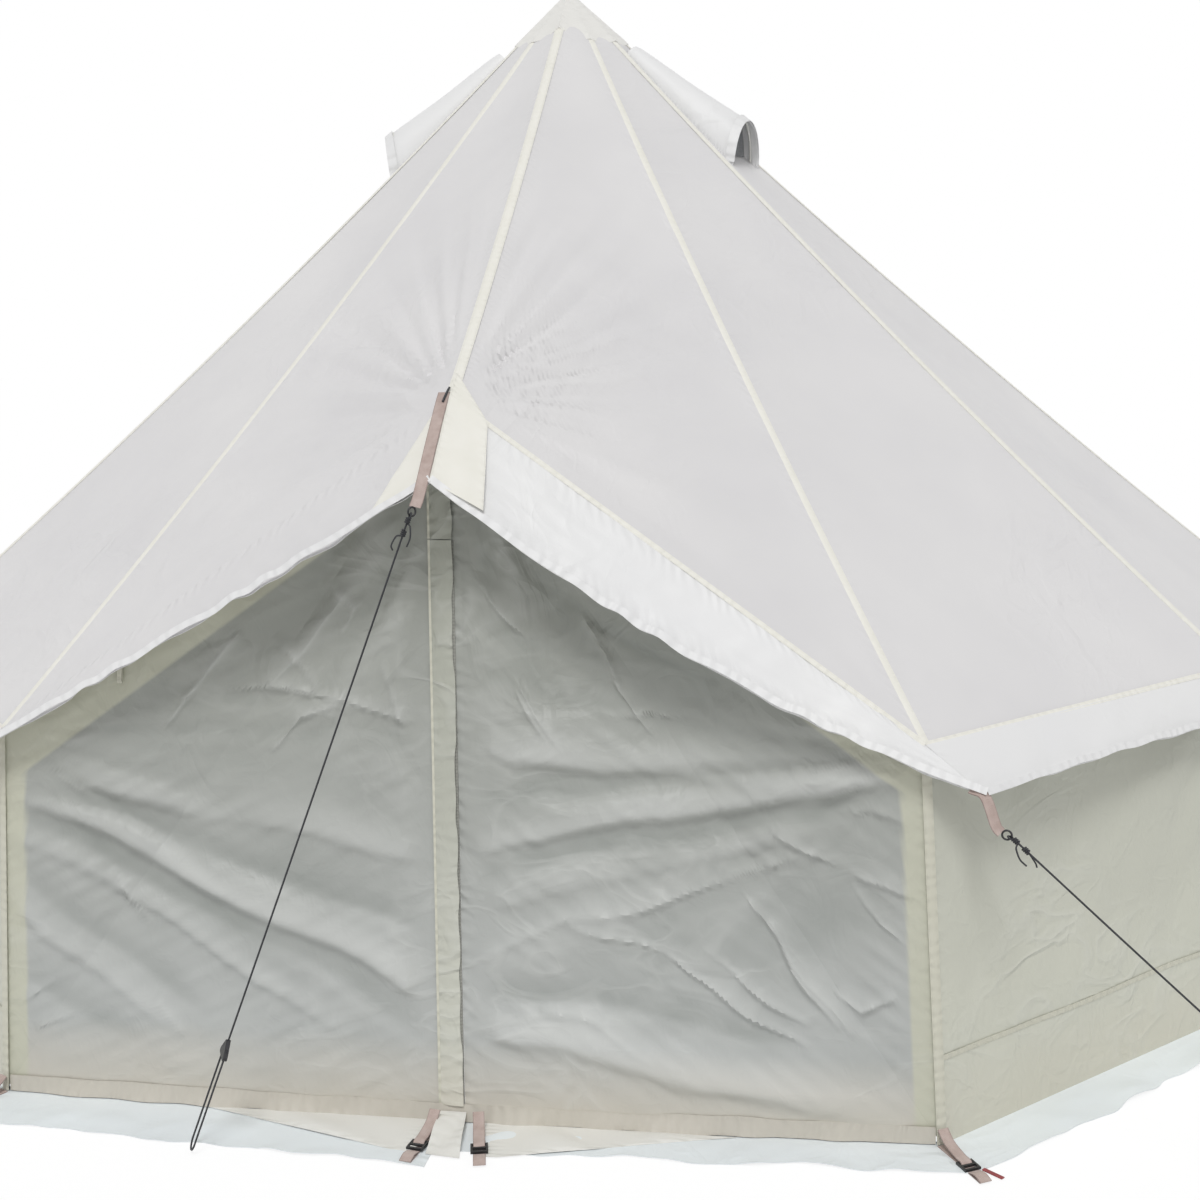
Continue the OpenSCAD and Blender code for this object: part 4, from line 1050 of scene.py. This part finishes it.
# %% [markdown]
# ## Flap, ties and the small things of the door
# A storm flap covers the zip from the left leaf, and goes on above it on the door's head. Loops of tape hang
# on both sides to hold the rolled leaves, with a toggle behind the cloth.

# %% Storm flap
def split_point(z, dx, dy):
    p = down_to(RIDGE, ZIP_FOOT, z)
    return p + (dx, dy, 0)

def flap_shape(place, u, v):
    z = place[:, 2]
    shift = np.zeros_like(place)
    shift[:, 1] = -0.0022 * np.sin(v * math.pi) - v * (0.0016 + 0.0030 * np.clip(np.sin(z * 13 + 2 * np.sin(z * 5)), 0, 1))
    shift[:, 0] = 0.0022 * np.sin(z * 17 + 1.2 * np.sin(z * 41)) * v
    return shift

def flap_values(place, u, v):
    return {"fold": 0.3 * np.sin(place[:, 2] * 23 + v * 2)}

for name, body, high, low, nodes in (("storm_flap_cloth", "door_leaf_left", 1.182, 0.036, ["storm_flap"]),
                                     ("storm_flap_head", "tent", 1.330, 1.184, [])):
    corners = (split_point(high, -0.050, -0.0022), split_point(low, -0.050, -0.0022),
            split_point(low, -0.003, -0.0044), split_point(high, -0.003, -0.0044))
    flap = cloth(name, corners, 150 if nodes else 20, 10, flap_shape, thickness=0.0014, values=flap_values)
    settle(flap, body, STORM, nodes)
    cut_sheet([corners])
    seam = ribbon(name + "_seam",
            seam_path(split_point(high, -0.0525, -0.001), split_point(low, -0.0525, -0.001), 0, 90), 0.005, (0,
                    -1, 0), lift=0.0008)
    settle(seam, body, WALL_TAPE)

def gable_y(x, z):
    return -1.477 + 0.0732 * (z - 1.47) - 0.1474 * abs(x)

TIE_X, TAPE_X, TAPE_TOP, TAPE_LONG = 0.706, 0.666, 0.87, 0.185
tie_parts, toggles = [], []
for s in (-1, 1):
    x = s * TIE_X
    def spot(z, off, dx=0.0):
        return (x + dx, gable_y(x, z) - off, z)
    loop = curve_through([spot(0.952, 0.002), spot(0.925, 0.003, 0.001), spot(0.900, 0.004), spot(0.893, 0.007),
            spot(0.900, 0.010),
                          spot(0.925, 0.010, 0.002), spot(0.950, 0.004)], 44)
    tie_parts.append(ribbon("tie", loop, 0.010, (0.02, -1, 0.05), lift=0.0, thickness=0.0012, across=3))
    x2 = s * TAPE_X
    behind = gable_y(x2, TAPE_TOP) + 0.0035
    tape = np.array([(x2, behind + 0.012 * math.sin(t * 2.5) * t, TAPE_TOP - TAPE_LONG * t)
                     for t in np.linspace(0, 1, 30)])
    tie_parts.append(ribbon("tie", tape, 0.012, (0, 1, 0), lift=0.0, thickness=0.0012, across=3))
    end = tape[-2] + (0, 0.004, 0)
    toggles.append(tube("toggle",
            curve_through([end + (-0.017, 0, 0), end + (-0.008, 0.0006, 0), end + (0.008, 0.0006, 0),
                    end + (0.017, 0, 0)], 24), 0.009, 16))
ties = settle(join("door_tie_tapes", tie_parts), "tent", WALL_TAPE, ["door_ties"])
settle(join("door_tie_toggles", toggles), "tent", PLASTIC)

# %% [markdown]
# ## Vents
# A vent is a small hood that widens down the slope and is held open by a bent rod, with insect mesh behind
# it. It is modelled once as a rule in the roof's own frame: down the slope, across, and off the surface.

# %% Vents
MID_SLOPE = (PEAK_H - WALL_H) / (EAVE_R * math.cos(math.radians(TURN / 2)))

def on_roof(angle, along, across, off):
    a = math.radians(angle)
    down = unit(np.array((math.sin(a), -math.cos(a), -MID_SLOPE)))
    right = np.array((math.cos(a), math.sin(a), 0))
    out = np.cross(down, right)
    place = PEAK + np.outer(along, down) + np.outer(across, right) + np.outer(off, out)
    place[:, 2] += hang((PEAK_H - place[:, 2]) / 1.7, SEAM_SAG) - 0.004
    return place

LEAN = 0.068

def vent_parts(angle, tag):
    def hood_shape(place, u, v):
        turn = v * math.pi
        x = 0.248 + u * (0.452 - LEAN * np.sin(turn))
        r = 0.092 * (0.30 + 0.70 * np.clip(u * 1.02, 0, 1.05) ** 0.8) * (1 + 0.012 * np.sin(v * 25 + u * 9) * u)
        r = r - 0.006 * np.sin(u * math.pi) * np.sin(v * math.pi)
        return on_roof(angle, x, -r * np.cos(turn) * 1.04, r * np.sin(turn) + 0.0015) - place
    corners = (PEAK, PEAK + (1, 0, 0), PEAK + (1, 1, 0), PEAK + (0, 1, 0))
    hood = cloth("vent_hood_%s" % tag, corners, 40, 36, hood_shape, thickness=0)
    face_out(hood, tuple(on_roof(angle, [0.5], [0.0], [-0.05])[0]))
    thicken(hood, 0.0014)
    turn = np.linspace(0, math.pi, 50)
    lip_path = on_roof(angle, 0.688 - LEAN * np.sin(turn), -0.0925 * 1.04 * np.cos(turn),
            0.0925 * np.sin(turn) + 0.002)
    away = on_roof(angle, 0.688 - LEAN * np.sin(turn), -1.0925 * np.cos(turn), 1.0925 * np.sin(turn)) - lip_path
    lip = ribbon("vent_lip_%s" % tag, lip_path, 0.026, away, lift=0.0012, thickness=0.0016)
    rod_path = on_roof(angle, 0.676 - LEAN * np.sin(turn), -0.0855 * np.cos(turn),
            0.0855 * np.sin(turn) + 0.003)
    rod = tube("vent_hoop_%s" % tag, rod_path, 0.006, 10)
    def net_shape(place, u, v):
        return on_roof(angle, 0.655 - LEAN * u * np.sin(v * math.pi), -0.080 * u * np.cos(v * math.pi),
                0.080 * u * np.sin(v * math.pi) + 0.002) - place
    net = cloth("vent_mesh_%s" % tag, corners, 12, 24, net_shape, thickness=0.0006)
    return hood, lip, rod, net

VENTS = {"right": 75, "right_back": 135, "left_back": 225, "left": 285}
for n, (tag, angle) in enumerate(VENTS.items()):
    hood, lip, rod, net = vent_parts(angle, tag)
    settle(hood, "tent", VALANCE, ["vent_hoods"] if n == 0 else [])
    settle(lip, "tent", VALANCE)
    settle(rod, "tent", HOOP, ["vent_hoops"] if n == 0 else [])
    settle(net, "tent", MESH, ["vent_meshes"] if n == 0 else [])

# %% [markdown]
# ## Webbing
# Straps are flat bands along smooth paths. Those at the ground come out from under the wall, run through a
# plastic buckle and end in a folded loop for a peg.

# %% Webbing
web_parts, web_length = [], 0.0

WEB_WIDTH = 0.025

def strap(path, up, width=WEB_WIDTH, thickness=0.0015):
    global web_length
    web_length += length_of(path)
    web_parts.append(ribbon("web", path, width, up, lift=0.0, thickness=thickness, across=6))

strap(curve_through([RIDGE + (-0.0135, 0.003, 0.010), RIDGE + (-0.0135, -0.030, -0.014),
        mix(RIDGE, CANOPY_TIP, 0.6) + (-0.0135, -0.005, 0.008),
                     CANOPY_TIP + (-0.0135, -0.004, 0.006), FRONT_WEB + (0.004, 0.010,
                             0.014), FRONT_WEB], 50), (0.0, -0.72, 0.7))
strap(curve_through([RIGHT_TIP + (-0.030, 0.006, 0.012), RIGHT_TIP + (-0.004, -0.004, 0.0),
        RIGHT_WEB + (-0.010, 0.004, 0.012), RIGHT_WEB], 24), (0.35, -0.6, 0.7))
for k in range(2, 12):
    start = corner_hem(k)
    out = around(1, TURN * k, 0)
    end = hem(TURN * k) + out * 0.025 - (0, 0, 0.043)
    strap(curve_through([start + out * 0.001 + (0, 0, 0.012), start + out * 0.004,
            mix(start, end, 0.5) + out * 0.004, end], 20), unit(out + (0, 0, 0.6)))
guy_web = settle(join("guy_webbing_bands", web_parts), "tent", WEBBING, ["guy_webbing"])
stub = tube("guy_stub",
        curve_through([RIDGE + (-0.004, 0.010, 0.020), RIDGE + (-0.006, -0.004, 0.012),
                RIDGE + (-0.010, -0.026, -0.006)], 14), 0.005, 8)
settle(stub, "tent", CORD)

web_parts, web_length = [], 0.0
places = [(around(2.004, TURN * k, 0), TURN * k, SEAT) for k in range(1, 12)]
places += [(np.array((-0.020, DOOR_FOOT[1] - 0.026, 0)), -8, 0.0041),
        (np.array((0.072, DOOR_FOOT[1] - 0.026, 0)), 14, 0.0041)]
for start, angle, z in places:
    out = around(1, angle, 0)
    line = [start + out * s + (0, 0, z) for s in (0, 0.05, 0.10, 0.150)]
    strap(curve_through(line, 24), (0, 0, 1))
    upper = [start - out * 0.002 + (0, 0, z + 0.034), start + out * 0.022 + (0, 0, z + 0.017),
            start + out * 0.060 + (0, 0, z + 0.0085),
             start + out * 0.080 + (0, 0, z + 0.0075), start + out * 0.088 + (0, 0, z + 0.002)]
    strap(curve_through(upper, 26), unit(out * 0.3 + (0, 0, 1)), 0.0235)
    strap(curve_through([start + out * 0.112 + (0, 0, z + 0.0017), start + out * 0.132 + (0, 0, z + 0.006),
            start + out * 0.152 + (0, 0, z + 0.0015)], 12), (0, 0, 1))
ground_web = settle(join("peg_strap_bands", web_parts), "tent", WEBBING, ["peg_straps"])

# %% [markdown]
# ## The foot of the tent
# The mud flap lies on the ground all round, with small lumps and an uneven rim. Under the door a beige strip
# stands up between the corners, and its loose hem lies out over the flap.

# %% Mud flap, sill and hems
flap_parts, flap_cuts = [], []
FLAP_IN, FLAP_OUT = 1.988, 2.12
rings = [(around(FLAP_IN, TURN * k, 0), around(FLAP_OUT, TURN * k, 0),
          around(FLAP_OUT, TURN * (k + 1), 0), around(FLAP_IN, TURN * (k + 1), 0)) for k in range(1, 11)]
front_right = (DOOR_FOOT + (0, 0.012, 0), DOOR_FOOT - (0, 0.12, 0), around(FLAP_OUT, TURN, 0),
        around(FLAP_IN, TURN, 0))
front_left = (around(FLAP_IN, -TURN, 0), around(2.15, -TURN, 0), DOOR_FOOT - (0, 0.185, 0),
        DOOR_FOOT + (0, 0.012, 0))
for n, corners in enumerate(rings + [front_right, front_left]):
    def shape(place, u, v):
        bow = np.sin(v * math.pi) ** 0.6
        shift = np.zeros_like(place)
        lump = np.clip(ripple(place, 0.16, 90) * 0.6 + ripple(place, 0.06, 91) * 0.25 + 0.35, 0, 1.4)
        shift[:, 2] = 0.0022 + 0.011 * lump * np.clip(u * 1.6 - 0.25, 0, 1) * bow
        way = unit(place.mean(0) * (1, 1, 0))
        shift += way * (np.clip(ripple(place, 0.22, 92) * 0.011 + ripple(place, 0.08, 93) * 0.004, -0.02,
                0.012) * u ** 2 * bow)[:, None]
        return shift
    flap_parts.append(cloth("flap_part", corners, 16, 90, shape, thickness=0))
    flap_cuts.append(corners)
mud_flap = join("mud_flap_cloth", flap_parts)
face_out(mud_flap, (0, 0, -3))
merge_doubles(mud_flap, 2e-4)
thicken(mud_flap, 0.0018)
settle(mud_flap, "tent", FLAP, ["mud_flap"])
cut_sheet(flap_cuts)

sill_parts, sill_cuts = [], []
for s in (1, -1):
    a, b = DOOR_FOOT, mix(foot(s * TURN, 0), DOOR_FOOT, 0.012)
    corners = (a + (0, 0.0040, 0.038), b + (0, 0.0006, 0.038), b + (0, -0.003, 0.0042), a + (0, -0.003, 0.0042))
    def shape(place, u, v):
        shift = np.zeros_like(place)
        shift[:, 1] = -(0.004 + 0.010 * np.clip(ripple(place, 0.17, 70) + 0.3, 0,
                1)) * v ** 1.5 * np.sin(u * math.pi) ** 0.4
        shift[:, 2] = 0.003 * ripple(place, 0.12, 71) * (1 - v) * np.sin(u * math.pi)
        return shift
    sill_parts.append(cloth("sill_part", corners, 100, 8, shape, thickness=0))
    sill_cuts.append(corners)
sill = join("door_sill_cloth", sill_parts)
face_out(sill, (0, 0, 0.02))
thicken(sill, 0.0014)
settle(sill, "tent", SILL, ["door_sill"])
cut_sheet(sill_cuts)

hem_pieces, hem_cuts = [], []
for s, shift_x in ((1, 0.0), (-1, 0.066)):
    near, far = DOOR_FOOT[1] - 0.003, DOOR_FOOT[1] - 0.136
    xs = [0.072, 0.102, 0.134, 0.596]
    xs = [s * x + shift_x for x in xs]
    corners = ((xs[0], near, 0), (xs[1], far, 0), (xs[2], far, 0), (xs[3], near, 0))
    def shape(place, u, v):
        shift = np.zeros_like(place)
        rim = np.sin(np.clip(v, 0, 1) * math.pi) ** 0.5
        shift[:, 2] = 0.0046 + 0.012 * np.clip(ripple(place, 0.13, 75) * 0.6 + 0.45, 0,
                1) * np.sin(np.clip(u, 0, 1) * math.pi) ** 0.5 * rim
        return shift
    hem_pieces.append(cloth("hem_part", corners, 30, 60, shape, thickness=0))
    hem_cuts.append(corners)
tongue = ((-0.014, DOOR_FOOT[1] - 0.002, 0.020), (-0.010, DOOR_FOOT[1] - 0.14, 0.0),
        (0.062, DOOR_FOOT[1] - 0.15, 0.0), (0.040, DOOR_FOOT[1] - 0.002, 0.020))
hem_pieces.append(cloth("hem_part", tongue, 30, 12, lambda p, u,
        v: np.stack([0 * u, 0 * u, 0.0046 + 0.010 * np.sin(u * 3.1) * (0.5 + 0.5 * np.sin(v * 5 + u * 4))],
                1), thickness=0))
hem_cuts.append(tongue)
hems = join("door_hem_cloth", hem_pieces)
face_out(hems, (0, 0, -3))
thicken(hems, 0.0012)
settle(hems, "tent", HEM, ["door_hems"])
cut_sheet(hem_cuts)

# %% [markdown]
# ## Finishes of the hard parts
# The poles, rings, tensioners, buckles and the zip keep their solids. Their material slots are given the
# finishes made above.

# %% Hard parts
HARD = {"pole_foot": PLASTIC, "pole_lower": POLE, "pole_upper": POLE, "pole_tip": PLASTIC, "apole_left": POLE,
        "apole_right": POLE,
        "apole_bend": POLE, "zip_coil": ZIP, "zip_slider": ZIP_METAL, "zip_pull": ZIP_METAL, "guy_rings": PLASTIC,
        "tensioner_front": PLASTIC, "tensioner_right": PLASTIC, "ladder_locks": PLASTIC, "buckle_pull": RED}
for name, finish in HARD.items():
    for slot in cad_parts[name].material_slots:
        slot.material = finish

# %% [markdown]
# ## Floor and light
# A wide white floor and a white world make a plain studio. The world shows pure white to the camera and
# lights the tent more softly, and one wide lamp from above gives the folds their shade.

# %% Stage
FLOOR_GLOW, FLOOR_SHARE, WORLD_LIGHT, LAMP_POWER = 1.05, 0.8, 0.45, 1.42
LAMP_WAY = Vector((-0.10, 0.85, -1.5))
bpy.ops.object.select_all(action="DESELECT")
bpy.ops.mesh.primitive_plane_add(size=60, location=(0, 0, 0))
floor = bpy.context.object
floor.name = "floor"
ground = Finish("floor_white")
paint = ground.add("ShaderNodeBsdfDiffuse", None, {"Color": rgb(0.95, 0.95, 0.95)})
glow = ground.add("ShaderNodeEmission", None, {"Color": rgb(1, 1, 1), "Strength": FLOOR_GLOW})
shown = ground.add("ShaderNodeLightPath", output=0) * FLOOR_SHARE
mixed = ground.add("ShaderNodeMixShader", None, {0: shown, 1: paint, 2: glow})
ground.links.new(mixed.socket, ground.out.inputs["Surface"])
floor.data.materials.append(ground.material)

world = bpy.data.worlds.new("studio")
bpy.context.scene.world = world
world.use_nodes = True
tree = world.node_tree
tree.nodes.clear()
paths = tree.nodes.new("ShaderNodeLightPath")
back = tree.nodes.new("ShaderNodeBackground")
out = tree.nodes.new("ShaderNodeOutputWorld")
seen = tree.nodes.new("ShaderNodeMath")
seen2 = tree.nodes.new("ShaderNodeMath")
seen.operation = seen2.operation = "MAXIMUM"
level = tree.nodes.new("ShaderNodeMapRange")
level.inputs["To Min"].default_value, level.inputs["To Max"].default_value = WORLD_LIGHT, 1.0
back.inputs["Color"].default_value = (1, 1, 1, 1)
tree.links.new(paths.outputs["Is Camera Ray"], seen.inputs[0])
tree.links.new(paths.outputs["Is Glossy Ray"], seen.inputs[1])
tree.links.new(seen.outputs[0], seen2.inputs[0])
tree.links.new(paths.outputs["Is Transmission Ray"], seen2.inputs[1])
tree.links.new(seen2.outputs[0], level.inputs["Value"])
tree.links.new(level.outputs["Result"], back.inputs["Strength"])
tree.links.new(back.outputs[0], out.inputs["Surface"])

lamp_data = bpy.data.lights.new("wide_lamp", "SUN")
lamp_data.energy, lamp_data.angle = LAMP_POWER, math.radians(18)
lamp = bpy.data.objects.new("wide_lamp", lamp_data)
bpy.context.scene.collection.objects.link(lamp)
lamp.rotation_euler = LAMP_WAY.to_track_quat("-Z", "Y").to_euler()
bpy.context.scene.view_settings.view_transform = "Standard"
